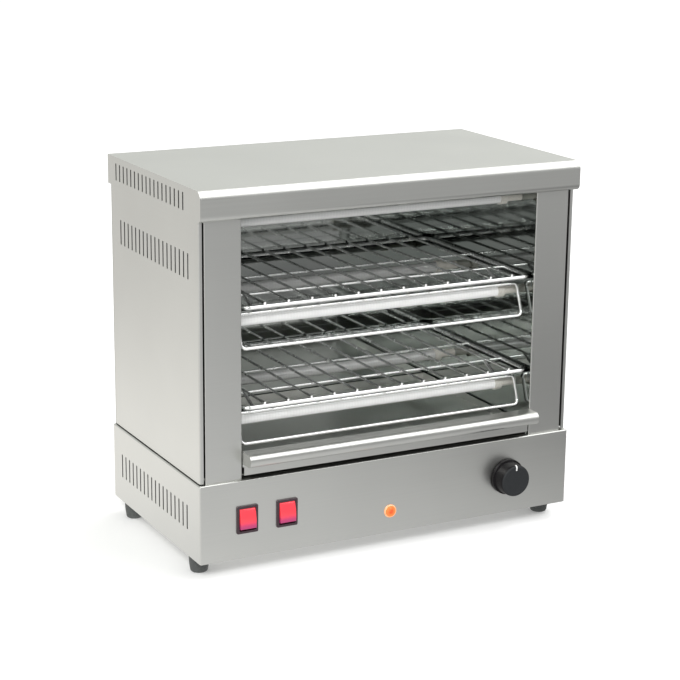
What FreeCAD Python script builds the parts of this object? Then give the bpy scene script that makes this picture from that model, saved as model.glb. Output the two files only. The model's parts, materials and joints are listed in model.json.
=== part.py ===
import FreeCAD, Part
import math
import os
from types import SimpleNamespace

import Sketcher

# A two-deck bar toaster in folded stainless sheet: a low base with the switches and the knob, and an
# open-fronted cabinet with two sliding wire racks between three levels of quartz tubes.
# Millimetres. X is the width and Y the depth, front towards -Y, both from the middle of the base.
# Z is the height above the surface that the feet stand on.

document = FreeCAD.newDocument("commercial_toaster")
sheet = document.addObject("Spreadsheet::Sheet", "Sizes")

DRIVING_SIZES = [
    ("base_width", 450, "width of the base"),
    ("base_depth", 243, "depth of the base"),
    ("base_height", 86, "height of the base above its feet"),
    ("base_gauge", 1.0, "sheet of the base"),
    ("base_bend", 2.0, "outside bend of the base's upright corners"),
    ("base_top_bend", 1.5, "outside bend of the base's top edges"),
    ("base_flange", 24, "width of the base's bottom flange"),
    ("plate_gauge", 1.0, "sheet of the bottom plate"),
    ("plate_inset", 1.5, "bottom plate inside the base's outline"),
    ("foot_height", 18.5, "height of the rubber feet"),
    ("foot_top_diameter", 22, "foot at the plate"),
    ("foot_bottom_diameter", 19, "foot at the ground"),
    ("foot_bevel", 2.5, "bevel round the foot's lower edge"),
    ("foot_side_inset", 13, "foot's centre from the base's side"),
    ("foot_front_inset", 33, "front foot's centre from the base's front"),
    ("foot_back_inset", 28, "rear foot's centre from the base's back"),
    ("foot_recess_diameter", 9.5, "recess for the screw's head"),
    ("foot_recess_depth", 9, "depth of that recess"),
    ("body_height", 306, "cabinet above the base"),
    ("body_front_inset", 4, "uprights behind the base's front"),
    ("body_back_inset", 3, "cabinet's back in front of the base's back"),
    ("skin_gauge", 0.8, "sheet of the cover and the outer panels"),
    ("cover_side_inset", 1, "cover inside the base's side"),
    ("cover_front_overhang", 5.5, "cover in front of the base"),
    ("cover_back_overhang", 3, "cover behind the base"),
    ("cover_skirt", 32, "height of the cover's skirt"),
    ("nose_round", 9, "round at the cover's top front edge"),
    ("lip_round", 6.5, "bend at the foot of the cover's front"),
    ("lip_gap", 0.5, "cover's lip in front of the uprights"),
    ("panel_clearance", 0.3, "side panel inside the cover's skirt"),
    ("panel_lap", 4.5, "side panel's top above the skirt's lower edge"),
    ("panel_shadow_gap", 1.2, "side panel above the base"),
    ("panel_front_return", 4.4, "side panel's folded front edge"),
    ("panel_back_return", 14, "side panel's folded back edge"),
    ("panel_bend", 2.0, "outside bend of the side panel"),
    ("stile_gap", 2.1, "gap between side panel and upright"),
    ("stile_return", 12, "upright's edge folded back"),
    ("stile_bend", 1.0, "outside bend of the upright"),
    ("cavity_side_inset", 49.5, "cavity's side walls inside the base's sides"),
    ("cavity_back_inset", 7.5, "cavity's back wall in front of the base's back"),
    ("ceiling_height", 277, "ceiling above the base"),
    ("liner_gauge", 0.8, "sheet of the cavity's walls"),
    ("liner_back_flange", 12, "inner wall's flange on the back wall"),
    ("ceiling_flange", 12, "ceiling's flange on the inner walls"),
    ("louvre_count", 18, "slots in each row of louvres"),
    ("louvre_pitch", 10.8, "distance from slot to slot"),
    ("louvre_width", 2.8, "width of a slot"),
    ("cover_louvre_height", 18.3, "slots in the cover's skirt"),
    ("cover_louvre_drop", 16.3, "their middle below the cover's top"),
    ("cover_louvre_shift", 8.3, "their middle behind the base's middle"),
    ("panel_louvre_height", 26.9, "slots in the side panel"),
    ("panel_louvre_drop", 81.3, "their middle below the cover's top"),
    ("panel_louvre_shift", -0.3, "their middle behind the base's middle"),
    ("base_louvre_height", 26.5, "slots in the base's side"),
    ("base_louvre_rise", 43.2, "their middle above the base's underside"),
    ("base_louvre_shift", 3.2, "their middle behind the base's middle"),
    ("rim_wire", 4.8, "wire of the rack's frame"),
    ("grid_wire", 2.8, "wires of the rack's grid"),
    ("grid_count", 12, "wires from front to rear"),
    ("grid_margin", 23.8, "outermost of them inside the frame's side wire"),
    ("rack_corner", 10, "corner of the rack's frame, at the wire's middle"),
    ("rack_side_gap", 1.1, "rack to the inner wall"),
    ("rack_front_inset", 3.5, "frame's front wire behind the uprights' face"),
    ("rack_rear_gap", 1.3, "rack to the rear rail"),
    ("weld_sink", 0.4, "depth that welded wires sink into each other"),
    ("upper_rack_height", 180.4, "upper rack's frame above the base"),
    ("lower_rack_height", 74.6, "lower rack's frame above the base"),
    ("first_cross_wire", 50, "first cross wire behind the frame's front wire"),
    ("second_cross_wire", 121, "second cross wire behind the frame's front wire"),
    ("handle_wire", 3.8, "wire of the rack's handle"),
    ("handle_side_gap", 6.2, "handle's wire, at its middle, from the inner wall"),
    ("handle_corner", 5, "corner of the handle's loop"),
    ("handle_setback", 22, "handle's top wire behind the frame's front wire"),
    ("handle_drop", 12, "handle's top wire below the frame's wire"),
    ("handle_tilt", 20, "angle of the loop, its foot forward"),
    ("upper_handle_height", 35.5, "height of the upper handle's loop"),
    ("handle_tray_gap", 0.5, "lower handle above the tray's pull"),
    ("seat_gap", 0.3, "play of a piece that rests loosely"),
    ("rail_width", 8, "width of a rack's rail"),
    ("rail_leg", 10, "side rail's leg on the inner wall"),
    ("rail_upstand", 16, "rear rail's leg on the back wall"),
    ("rail_gauge", 0.8, "sheet of the rails"),
    ("rail_front_inset", 5, "rails behind the uprights' face"),
    ("tube_diameter", 12, "quartz tube"),
    ("tube_bore", 10, "its bore"),
    ("tube_front_setback", 34, "front tubes behind the uprights' face"),
    ("tube_rear_setback", 166, "rear tubes behind the uprights' face"),
    ("top_tube_height", 264, "top tubes above the base"),
    ("middle_tube_height", 160, "middle tubes above the base"),
    ("bottom_tube_height", 54, "bottom tubes above the base"),
    ("coil_diameter", 9.4, "heating coil"),
    ("collar_diameter", 14.5, "ceramic cap's collar"),
    ("collar_length", 8, "length of that collar"),
    ("collar_standoff", 19.5, "right collar from the inner wall"),
    ("left_collar_standoff", 1.2, "left collar from the inner wall"),
    ("collar_socket_depth", 6, "tube's seat in the collar"),
    ("cap_neck_diameter", 9.5, "ceramic cap's neck"),
    ("cap_tail", 10, "neck beyond the inner wall"),
    ("fit_gap", 0.05, "radial play of a turned fit"),
    ("tray_gauge", 0.8, "sheet of the crumb tray"),
    ("tray_lift", 4, "crumb tray above the base"),
    ("tray_side_gap", 2.2, "tray's pan to the inner wall"),
    ("tray_flange_gap", 0.5, "tray's front flange to the inner wall"),
    ("tray_rear_gap", 2, "tray to the back wall"),
    ("tray_wall", 9, "height of the tray's walls"),
    ("tray_flange_proud", 1, "tray's flange in front of the uprights' face"),
    ("pull_reach", 21, "tray's pull in front of the uprights' face"),
    ("pull_top", 30.2, "top of the pull above the base"),
    ("pull_height", 13.4, "height of the pull"),
    ("pull_round", 6.4, "round of the pull"),
    ("pull_hem", 5, "hem under the pull"),
    ("runner_width", 10, "runner under the tray"),
    ("switch_width", 24.2, "switch's bezel"),
    ("switch_height", 30.2, "switch's bezel"),
    ("switch_bezel", 2, "thickness of the bezel"),
    ("switch_body_width", 21.4, "switch behind the bezel"),
    ("switch_body_height", 27.4, "switch behind the bezel"),
    ("switch_body_depth", 24, "switch behind the base's front"),
    ("switch_wall", 1.4, "wall of the switch"),
    ("switch_well", 11, "depth of the rocker's well behind the base's front"),
    ("switch_inset", 53.4, "first switch from the base's left side"),
    ("switch_spacing", 45.8, "first switch to second"),
    ("switch_rise", 43.3, "switches above the base's underside"),
    ("rocker_pivot", 4, "rocker's pin behind the base's front"),
    ("rocker_end", 7.2, "rocker's ends in front of its pin"),
    ("rocker_crest", 8.6, "rocker's crest in front of its pin"),
    ("rocker_tilt", 9.5, "tilt of the rocker at either stop"),
    ("rocker_gap", 0.35, "rocker in its well"),
    ("rocker_pin", 3, "rocker's pin"),
    ("hole_gap", 0.2, "play of a piece in its cut-out"),
    ("pilot_inset", 223.4, "pilot lamp from the base's left side"),
    ("pilot_rise", 25, "pilot lamp above the base's underside"),
    ("pilot_bezel_diameter", 14.6, "pilot lamp's bezel"),
    ("pilot_bezel", 1.4, "thickness of that bezel"),
    ("pilot_body_diameter", 12.8, "pilot lamp behind the bezel"),
    ("pilot_body_depth", 20, "pilot lamp behind the base's front"),
    ("lens_diameter", 11.4, "pilot lamp's lens"),
    ("lens_proud", 3.2, "lens in front of the base"),
    ("lens_depth", 5, "lens behind the base's front"),
    ("knob_inset", 79.5, "knob from the base's right side"),
    ("knob_rise", 43, "knob above the base's underside"),
    ("knob_skirt_diameter", 40, "knob's skirt"),
    ("knob_skirt", 4, "thickness of the skirt"),
    ("knob_shoulder", 1.0, "flat of the skirt round the grip"),
    ("knob_taper", 0.5, "grip at its face smaller than at the skirt, in radius"),
    ("knob_depth", 20.5, "depth of the knob"),
    ("knob_gap", 1, "knob in front of the base"),
    ("knob_bevel", 0.8, "bevels of the knob's edges"),
    ("knob_hollow_diameter", 22, "hollow at the knob's back"),
    ("knob_hollow_depth", 8, "depth of that hollow"),
    ("shaft_diameter", 6, "regulator's shaft"),
    ("shaft_length", 32, "length of the shaft"),
    ("pointer_width", 2, "knob's pointer mark"),
    ("pointer_length", 6, "length of the mark on the face"),
    ("pointer_lap", 2.5, "mark on the side of the grip"),
    ("pointer_depth", 0.6, "depth of the mark"),
    ("regulator_width", 44, "regulator"),
    ("regulator_depth", 30, "regulator behind the base's front"),
    ("bushing_diameter", 9.8, "regulator's threaded bushing"),
    ("bushing_length", 6, "bushing in front of the base"),
    ("bushing_nut_width", 14, "nut on the bushing, across its corners"),
    ("bushing_nut", 2.5, "thickness of that nut"),
    ("gland_inset", 70, "cable gland from the base's right side"),
    ("gland_rise", 43, "cable gland above the base's underside"),
    ("gland_thread", 19.8, "gland's thread in the wall"),
    ("gland_thread_length", 10, "thread behind the wall"),
    ("gland_flange_width", 27, "gland's hexagon, across its corners"),
    ("gland_flange", 4, "thickness of the hexagon"),
    ("gland_bore", 10, "gland's bore"),
    ("gland_neck", 17.4, "gland's outer thread"),
    ("gland_neck_length", 10.5, "length of that thread"),
    ("dome_nut_width", 24.5, "dome nut, across its corners"),
    ("dome_nut_length", 11.2, "dome nut's hexagon"),
    ("dome_length", 6, "round part of the dome nut"),
    ("dome_mouth_diameter", 15, "dome nut at its mouth"),
    ("locknut_width", 29, "locknut, across its corners"),
    ("locknut", 5, "thickness of the locknut"),
    ("block_width", 40, "terminal block"),
    ("block_depth", 22, "terminal block"),
    ("block_height", 20, "terminal block"),
    ("block_back_gap", 26, "terminal block from the base's back"),
    ("screw_diameter", 4, "screws"),
    ("screw_head_diameter", 8, "head of a screw"),
    ("screw_head", 2.4, "height of the head"),
    ("screw_reach", 8, "shank of a screw"),
    ("foot_screw_reach", 18, "shank of a foot's screw"),
    ("screw_hole_gap", 0.15, "radial play of a screw in its hole"),
    ("panel_screw_inset", 7, "back panel's screws from the side panel's face"),
    ("panel_screw_margin", 28, "outer screws from the panel's top and bottom"),
    ("cover_screw_spacing", 300, "between the cover's two screws"),
    ("bracket_width", 24, "cover's brackets"),
    ("bracket_leg", 11, "height of a bracket's leg"),
    ("bracket_gauge", 1, "sheet of the brackets"),
    ("plate_screw_side", 60, "bottom plate's screws from the base's sides"),
    ("plate_screw_margin", 12, "bottom plate's screws from the base's front and back"),
    ("wire_hole_diameter", 20, "holes for the wiring in the base's top"),
    ("wire_hole_shift", 60, "those holes behind the base's middle"),
]


class Size:
    """A length or an angle with its value and its formula in the sheet's cells."""

    def __init__(self, value, formula):
        self.value = value
        self.formula = formula

    def __add__(self, other):
        other = size(other)
        return Size(self.value + other.value, f"({self.formula} + {other.formula})")

    def __radd__(self, other):
        return size(other) + self

    def __sub__(self, other):
        other = size(other)
        return Size(self.value - other.value, f"({self.formula} - {other.formula})")

    def __rsub__(self, other):
        return size(other) - self

    def __mul__(self, other):
        other = size(other)
        return Size(self.value * other.value, f"({self.formula} * {other.formula})")

    def __rmul__(self, other):
        return size(other) * self

    def __truediv__(self, other):
        other = size(other)
        return Size(self.value / other.value, f"({self.formula} / {other.formula})")

    def __neg__(self):
        return size(0) - self


def size(value):
    return value if isinstance(value, Size) else Size(float(value), f"{value:.6g}")


def sine(angle):
    return Size(math.sin(math.radians(angle.value)), f"sin({angle.formula})")


def cosine(angle):
    return Size(math.cos(math.radians(angle.value)), f"cos({angle.formula})")


def arctangent(ratio):
    return Size(math.degrees(math.atan(ratio.value)), f"(atan({ratio.formula}) / 1 deg)")


def square_root(number):
    return Size(math.sqrt(number.value), f"sqrt({number.formula})")


given = SimpleNamespace()
for row, (alias, value, meaning) in enumerate(DRIVING_SIZES, start=1):
    sheet.set(f"A{row}", meaning)
    sheet.set(f"B{row}", str(value))
    sheet.setAlias(f"B{row}", alias)
    setattr(given, alias, Size(float(value), f"Sizes.{alias}"))

# Planes that several pieces share

base_bottom = given.foot_height
base_top = base_bottom + given.base_height
base_side = given.base_width / 2
base_front = -given.base_depth / 2
base_back = given.base_depth / 2
base_inner_front = base_front + given.base_gauge
base_inner_back = base_back - given.base_gauge
cover_top = base_top + given.body_height
cover_side = base_side - given.cover_side_inset
cover_front = base_front - given.cover_front_overhang
cover_back = base_back + given.cover_back_overhang
cover_underside = cover_top - given.skin_gauge
skirt_bottom = cover_top - given.cover_skirt
skirt_inner_back = cover_back - given.skin_gauge
face_plane = base_front + given.body_front_inset
body_back = base_back - given.body_back_inset
panel_side = cover_side - given.skin_gauge - given.panel_clearance
panel_bottom = base_top + given.panel_shadow_gap
panel_top = skirt_bottom + given.panel_lap
stile_side = panel_side - given.panel_front_return - given.stile_gap
cavity_side = base_side - given.cavity_side_inset
cavity_back = base_back - given.cavity_back_inset
ceiling = base_top + given.ceiling_height


# Sketches, features and plain solids

def bind(item, **formulas):
    """Tie properties of an object to formulas."""
    for name, formula in formulas.items():
        item.setExpression(name, size(formula).formula)


def place(item, x=0, y=0, z=0):
    for axis, distance in (("x", x), ("y", y), ("z", z)):
        item.setExpression(f"Placement.Base.{axis}", size(distance).formula)
    return item


def new_body(name):
    return document.addObject("PartDesign::Body", name)


def origin_feature(body, role):
    return next(item for item in body.Origin.OriginFeatures if item.Role == role)


def new_sketch(body, role, lift=0):
    """A sketch on one of the body's origin planes, moved along that plane's normal."""
    sketch = body.newObject("Sketcher::SketchObject", "sketch")
    sketch.AttachmentSupport = [(origin_feature(body, role), "")]
    sketch.MapMode = "FlatFace"
    sketch.setExpression("AttachmentOffset.Base.z", size(lift).formula)
    return sketch


def pin(sketch, geometry, end, x, y):
    """Hold one point of a line, an arc or a circle at its place."""
    for kind, distance in (("DistanceX", x), ("DistanceY", y)):
        constraint = Sketcher.Constraint(kind, -1, 1, geometry, end, distance.value)
        index = sketch.addConstraint(constraint)
        sketch.setExpression(f"Constraints[{index}]", distance.formula)


def set_radius(sketch, geometry, radius):
    index = sketch.addConstraint(Sketcher.Constraint("Radius", geometry, radius.value))
    sketch.setExpression(f"Constraints[{index}]", radius.formula)


def draw_circle(sketch, x, y, radius):
    x, y, radius = size(x), size(y), size(radius)
    centre = FreeCAD.Vector(x.value, y.value, 0)
    circle = Part.Circle(centre, FreeCAD.Vector(0, 0, 1), radius.value)
    geometry = sketch.addGeometry(circle, False)
    pin(sketch, geometry, 3, x, y)
    set_radius(sketch, geometry, radius)


def way(start, end):
    """Unit direction from one corner to the next."""
    along = end[0].value - start[0].value
    up = end[1].value - start[1].value
    length = math.hypot(along, up)
    return round(along / length, 9), round(up / length, 9)


def bend_points(before, here, after, radius):
    """Where an arc of this radius leaves the two lines of a corner, its turn and its middle."""
    ahead = way(before, here)
    onward = way(here, after)
    turn = 1 if ahead[0] * onward[1] - ahead[1] * onward[0] > 0 else -1
    cosine_of_turn = ahead[0] * onward[0] + ahead[1] * onward[1]
    reach = radius * round(math.tan(math.acos(cosine_of_turn) / 2), 9)
    start = (here[0] - reach * ahead[0], here[1] - reach * ahead[1])
    end = (here[0] + reach * onward[0], here[1] + reach * onward[1])
    middle = FreeCAD.Vector(start[0].value - turn * radius.value * ahead[1],
                            start[1].value + turn * radius.value * ahead[0], 0)
    return start, end, turn, middle


def draw_outline(sketch, corners):
    """A closed outline through (x, y) corners; a third number is the radius of the corner's bend."""
    places = [(size(corner[0]), size(corner[1])) for corner in corners]
    steps = []
    for index, corner in enumerate(corners):
        here = places[index]
        if len(corner) == 2:
            steps.append((here, None))
            continue
        radius = size(corner[2])
        after = places[(index + 1) % len(places)]
        start, end, turn, middle = bend_points(places[index - 1], here, after, radius)
        steps.append((start, (radius, turn, middle)))
        steps.append((end, None))
    edges = []
    for (start, bend), (end, _) in zip(steps, steps[1:] + steps[:1]):
        first = FreeCAD.Vector(start[0].value, start[1].value, 0)
        last = FreeCAD.Vector(end[0].value, end[1].value, 0)
        ends = (1, 2)
        if bend is None:
            geometry = sketch.addGeometry(Part.LineSegment(first, last), False)
        else:
            radius, turn, middle = bend
            if turn < 0:
                first, last = last, first
                ends = (2, 1)
            circle = Part.Circle(middle, FreeCAD.Vector(0, 0, 1), radius.value)
            angles = [math.atan2(point.y - middle.y, point.x - middle.x) for point in (first, last)]
            geometry = sketch.addGeometry(Part.ArcOfCircle(circle, *angles), False)
            set_radius(sketch, geometry, radius)
        pin(sketch, geometry, ends[0], *start)
        edges.append((geometry, ends))
    for (one, one_ends), (other, other_ends) in zip(edges, edges[1:] + edges[:1]):
        joint = Sketcher.Constraint("Coincident", one, one_ends[1], other, other_ends[0])
        sketch.addConstraint(joint)


def draw(sketch, shapes):
    """Outlines are lists of corners, circles are (x, y, radius)."""
    for shape in shapes:
        if isinstance(shape, tuple):
            draw_circle(sketch, *shape)
        else:
            draw_outline(sketch, shape)


def rectangle(low_x, low_y, high_x, high_y, *bend):
    return [(low_x, low_y, *bend), (high_x, low_y, *bend), (high_x, high_y, *bend), (low_x, high_y, *bend)]


PLANES = {"x": ("YZ_Plane", 1), "y": ("XZ_Plane", -1), "z": ("XY_Plane", 1)}
cuts = []


def add(body, axis, low, high, *shapes):
    """Pad shapes, drawn square to an axis, from one place on that axis to a higher one."""
    role, normal = PLANES[axis]
    start = size(low if normal > 0 else high)
    sketch = new_sketch(body, role, start * normal)
    draw(sketch, shapes)
    feature = body.newObject("PartDesign::Pad", "pad")
    feature.Profile = sketch
    bind(feature, Length=high - low)
    return feature


def cut(body, axis, low, high, *shapes):
    """Pocket shapes, drawn square to an axis, between two places on that axis."""
    role, normal = PLANES[axis]
    start = size(high if normal > 0 else low)
    sketch = new_sketch(body, role, start * normal)
    draw(sketch, shapes)
    feature = body.newObject("PartDesign::Pocket", "cut")
    feature.Profile = sketch
    bind(feature, Length=high - low)
    cuts.append(feature)
    return feature


def repeat(body, feature, role, pitch, count):
    """Copy a feature along an axis of its body."""
    pattern = body.newObject("PartDesign::LinearPattern", "row")
    pattern.Originals = [feature]
    pattern.Direction = (origin_feature(body, role), [""])
    pattern.Mode = "Extent"
    bind(pattern, Length=pitch * (count - 1), Occurrences=count)
    body.Tip = pattern
    return pattern


def turn(name, corners):
    """A turned piece about its body's Y axis, from an outline of (radius, y) corners."""
    body = new_body(name)
    sketch = new_sketch(body, "XY_Plane")
    draw_outline(sketch, corners)
    feature = body.newObject("PartDesign::Revolution", "turned")
    feature.Profile = sketch
    feature.ReferenceAxis = (origin_feature(body, "Y_Axis"), [""])
    feature.Angle = 360
    return body


def pipe(body, path_role, path_lift, path, section_role, section):
    """A wire of round section bent along a closed path that starts at the section."""
    spine = new_sketch(body, path_role, path_lift)
    draw_outline(spine, path)
    profile = new_sketch(body, section_role)
    draw_circle(profile, *section)
    feature = body.newObject("PartDesign::AdditivePipe", "bent_wire")
    feature.Profile = profile
    feature.Spine = (spine, [f"Edge{number}" for number in range(1, spine.GeometryCount + 1)])
    return feature


def round_edges(body, radius, wanted):
    """Fillet the edges of the body's last feature whose middle is wanted."""
    document.recompute()
    base = body.Tip
    names = [f"Edge{number}" for number, edge in enumerate(base.Shape.Edges, start=1)
             if wanted(edge.CenterOfMass)]
    feature = body.newObject("PartDesign::Fillet", "round")
    feature.Base = (base, names)
    bind(feature, Radius=radius)
    return feature


def box(name, x, y, z):
    """A plain block from three (low, high) pairs."""
    block = document.addObject("Part::Box", name)
    bind(block, Length=x[1] - x[0], Width=y[1] - y[0], Height=z[1] - z[0])
    return place(block, x[0], y[0], z[0])


AXIS_TURNS = {"x": FreeCAD.Rotation(FreeCAD.Vector(0, 1, 0), 90),
              "y": FreeCAD.Rotation(FreeCAD.Vector(1, 0, 0), -90),
              "z": FreeCAD.Rotation()}


def rod(name, axis, diameter, length, x, y, z):
    """A cylinder along an axis, from the point where it starts."""
    cylinder = document.addObject("Part::Cylinder", name)
    bind(cylinder, Radius=size(diameter) / 2, Height=length)
    cylinder.Placement = FreeCAD.Placement(FreeCAD.Vector(), AXIS_TURNS[axis])
    return place(cylinder, x, y, z)


def hexagon(name, corner_width, length, x, y, z):
    """A hexagonal prism along +Y."""
    prism = document.addObject("Part::Prism", name)
    prism.Polygon = 6
    bind(prism, Circumradius=size(corner_width) / 2, Height=length)
    prism.Placement = FreeCAD.Placement(FreeCAD.Vector(), AXIS_TURNS["y"])
    return place(prism, x, y, z)


def fuse(name, *pieces):
    joined = document.addObject("Part::MultiFuse", name)
    joined.Shapes = list(pieces)
    return joined


def subtract(name, base, tool):
    result = document.addObject("Part::Cut", name)
    result.Base = base
    result.Tool = tool
    return result


def group(name, pieces):
    """Like pieces kept together as separate solids."""
    together = document.addObject("Part::Compound", name)
    together.Links = list(pieces)
    return together


nodes = []


def keep(piece, name):
    """Name a finished piece and list it for writing."""
    piece.Label = name
    nodes.append(piece)
    return piece


def keep_with_mirror(piece, name):
    """Keep the right-hand piece and its left-hand twin."""
    keep(piece, f"right_{name}")
    twin = document.addObject("Part::Mirroring", f"left_{name}")
    twin.Source = piece
    twin.Base = (0, 0, 0)
    twin.Normal = (1, 0, 0)
    keep(twin, f"left_{name}")


def louvres(body, low_x, high_x, middle_y, middle_z, height):
    """A row of upright slots through a sheet that stands square to X."""
    first = middle_y - given.louvre_pitch * (given.louvre_count - 1) / 2
    slot = rectangle(first - given.louvre_width / 2, middle_z - height / 2,
                     first + given.louvre_width / 2, middle_z + height / 2)
    feature = cut(body, "x", low_x, high_x, slot)
    repeat(body, feature, "Y_Axis", given.louvre_pitch, given.louvre_count)


def screws(name, axis, places, reach, outward):
    """Pan-head screws; each place is the point under the head, and outward is the head's side."""
    pieces = []
    shank_turn = given.screw_diameter
    for x, y, z in places:
        head_start = {"x": x, "y": y, "z": z}
        shank_start = dict(head_start)
        moved = shank_start if outward > 0 else head_start
        length = reach if outward > 0 else given.screw_head
        moved[axis] = moved[axis] - length
        head = rod(f"{name}_head", axis, given.screw_head_diameter, given.screw_head, **head_start)
        shank = rod(f"{name}_shank", axis, shank_turn, reach, **shank_start)
        pieces.append(fuse(f"{name}_screw", head, shank))
    return keep(group(name, pieces), name)


# Places of the fasteners, shared by the screws and their holes

screw_hole = given.screw_diameter / 2 + given.screw_hole_gap
foot_x = base_side - given.foot_side_inset
foot_front_y = base_front + given.foot_front_inset
foot_back_y = base_back - given.foot_back_inset
foot_spots = {"front_right": (foot_x, foot_front_y), "front_left": (-foot_x, foot_front_y),
              "rear_right": (foot_x, foot_back_y), "rear_left": (-foot_x, foot_back_y)}
plate_screw_x = base_side - given.plate_screw_side
plate_screw_y = base_back - given.plate_screw_margin
plate_screw_spots = [(x, y) for x in (-plate_screw_x, plate_screw_x) for y in (-plate_screw_y, plate_screw_y)]
panel_screw_x = panel_side - given.panel_screw_inset
panel_screw_low = panel_bottom + given.panel_screw_margin
panel_screw_high = panel_top - given.panel_screw_margin
panel_screw_rows = [panel_screw_low, (panel_screw_low + panel_screw_high) / 2, panel_screw_high]
bracket_top = panel_top + 2 * given.bracket_leg
cover_screw_z = panel_top + 1.5 * given.bracket_leg


# Base housing: one sheet folded to a box that is open below, with flanges round its foot

def make_base_housing():
    body = new_body("base_housing")
    housing_bottom = base_bottom + given.plate_gauge
    gauge = given.base_gauge
    add(body, "z", housing_bottom, base_top,
        rectangle(-base_side, base_front, base_side, base_back, given.base_bend))
    top_edge = base_top.value - 0.01
    round_edges(body, given.base_top_bend, lambda middle: middle.z > top_edge)
    inner_side = base_side - gauge
    cut(body, "z", housing_bottom + gauge, base_top - gauge,
        rectangle(-inner_side, base_inner_front, inner_side, base_inner_back, given.base_bend - gauge))
    flange_side = base_side - given.base_flange
    flange_back = base_back - given.base_flange
    holes = [(x, y, screw_hole) for x, y in list(foot_spots.values()) + plate_screw_spots]
    cut(body, "z", housing_bottom, housing_bottom + gauge,
        rectangle(-flange_side, -flange_back, flange_side, flange_back), *holes)
    half_width = given.switch_body_width / 2 + given.hole_gap
    half_height = given.switch_body_height / 2 + given.hole_gap
    openings = [rectangle(x - half_width, switch_z - half_height, x + half_width, switch_z + half_height)
                for x in switch_xs]
    pilot_hole = (pilot_x, pilot_z, given.pilot_body_diameter / 2 + given.hole_gap)
    bushing_hole = (knob_x, knob_z, given.bushing_diameter / 2 + given.hole_gap)
    cut(body, "y", base_front, base_inner_front, *openings, pilot_hole, bushing_hole)
    gland_hole = (gland_x, gland_z, given.gland_thread / 2 + given.hole_gap)
    cut(body, "y", base_inner_back, base_back, gland_hole)
    wire_x = (cavity_side + stile_side) / 2
    wire_holes = [(x, given.wire_hole_shift, given.wire_hole_diameter / 2) for x in (-wire_x, wire_x)]
    cut(body, "z", base_top - gauge, base_top, *wire_holes)
    louvres(body, -base_side, base_side, given.base_louvre_shift,
            base_bottom + given.base_louvre_rise, given.base_louvre_height)
    keep(body, "base_housing")


switch_z = base_bottom + given.switch_rise
first_switch_x = given.switch_inset - base_side
switch_xs = [first_switch_x, first_switch_x + given.switch_spacing]
pilot_x = given.pilot_inset - base_side
pilot_z = base_bottom + given.pilot_rise
knob_x = base_side - given.knob_inset
knob_z = base_bottom + given.knob_rise
gland_x = base_side - given.gland_inset
gland_z = base_bottom + given.gland_rise


# Bottom plate, under the housing's flanges

def make_bottom_plate():
    body = new_body("base_bottom_plate")
    side = base_side - given.plate_inset
    back = base_back - given.plate_inset
    add(body, "z", base_bottom, base_bottom + given.plate_gauge, rectangle(-side, -back, side, back))
    holes = [(x, y, screw_hole) for x, y in list(foot_spots.values()) + plate_screw_spots]
    cut(body, "z", base_bottom, base_bottom + given.plate_gauge, *holes)
    keep(body, "base_bottom_plate")
    under_head = [(x, y, base_bottom) for x, y in plate_screw_spots]
    screws("bottom_plate_screws", "z", under_head, given.screw_reach, -1)


# Feet: tapered rubber, each with a screw from below

def make_feet():
    top = given.foot_top_diameter / 2
    bottom = given.foot_bottom_diameter / 2
    recess = given.foot_recess_diameter / 2
    depth = given.foot_recess_depth
    profile = [(recess, 0), (bottom - given.foot_bevel, 0), (bottom, given.foot_bevel),
               (top, given.foot_height), (screw_hole, given.foot_height), (screw_hole, depth),
               (recess, depth)]
    for corner, (x, y) in foot_spots.items():
        foot = turn(f"{corner}_foot", profile)
        foot.Placement = FreeCAD.Placement(FreeCAD.Vector(), FreeCAD.Rotation(FreeCAD.Vector(1, 0, 0), 90))
        place(foot, x, y, 0)
        keep(foot, f"{corner}_foot")
    under_head = [(x, y, depth) for x, y in foot_spots.values()]
    screws("foot_screws", "z", under_head, given.foot_screw_reach, -1)


# Side panels: a sheet with a narrow folded front edge and a wider folded back edge

def make_side_panels():
    body = new_body("right_side_panel")
    gauge = given.skin_gauge
    bend = given.panel_bend
    front_edge = panel_side - given.panel_front_return
    back_edge = panel_side - given.panel_back_return
    add(body, "z", panel_bottom, panel_top,
        [(front_edge, face_plane), (panel_side, face_plane, bend), (panel_side, body_back, bend),
         (back_edge, body_back), (back_edge, body_back - gauge),
         (panel_side - gauge, body_back - gauge, bend - gauge),
         (panel_side - gauge, face_plane + gauge, bend - gauge), (front_edge, face_plane + gauge)])
    holes = [(panel_screw_x, z, screw_hole) for z in panel_screw_rows]
    cut(body, "y", body_back - gauge, body_back, *holes)
    louvres(body, panel_side - gauge, panel_side, given.panel_louvre_shift,
            cover_top - given.panel_louvre_drop, given.panel_louvre_height)
    keep_with_mirror(body, "side_panel")


def make_back_panel():
    body = new_body("back_panel")
    side = panel_side - given.panel_clearance
    outer = body_back + given.skin_gauge
    add(body, "y", body_back, outer,
        rectangle(-side, base_top, side, cover_underside - given.seat_gap))
    holes = [(x, z, screw_hole) for x in (-panel_screw_x, panel_screw_x) for z in panel_screw_rows]
    cut(body, "y", body_back, outer, *holes)
    keep(body, "back_panel")
    under_head = [(x, outer, z) for x in (-panel_screw_x, panel_screw_x) for z in panel_screw_rows]
    screws("back_panel_screws", "y", under_head, given.screw_reach, 1)


# Cover: a rounded front edge, a lip turned in under it, and a skirt at the sides and the back

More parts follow.
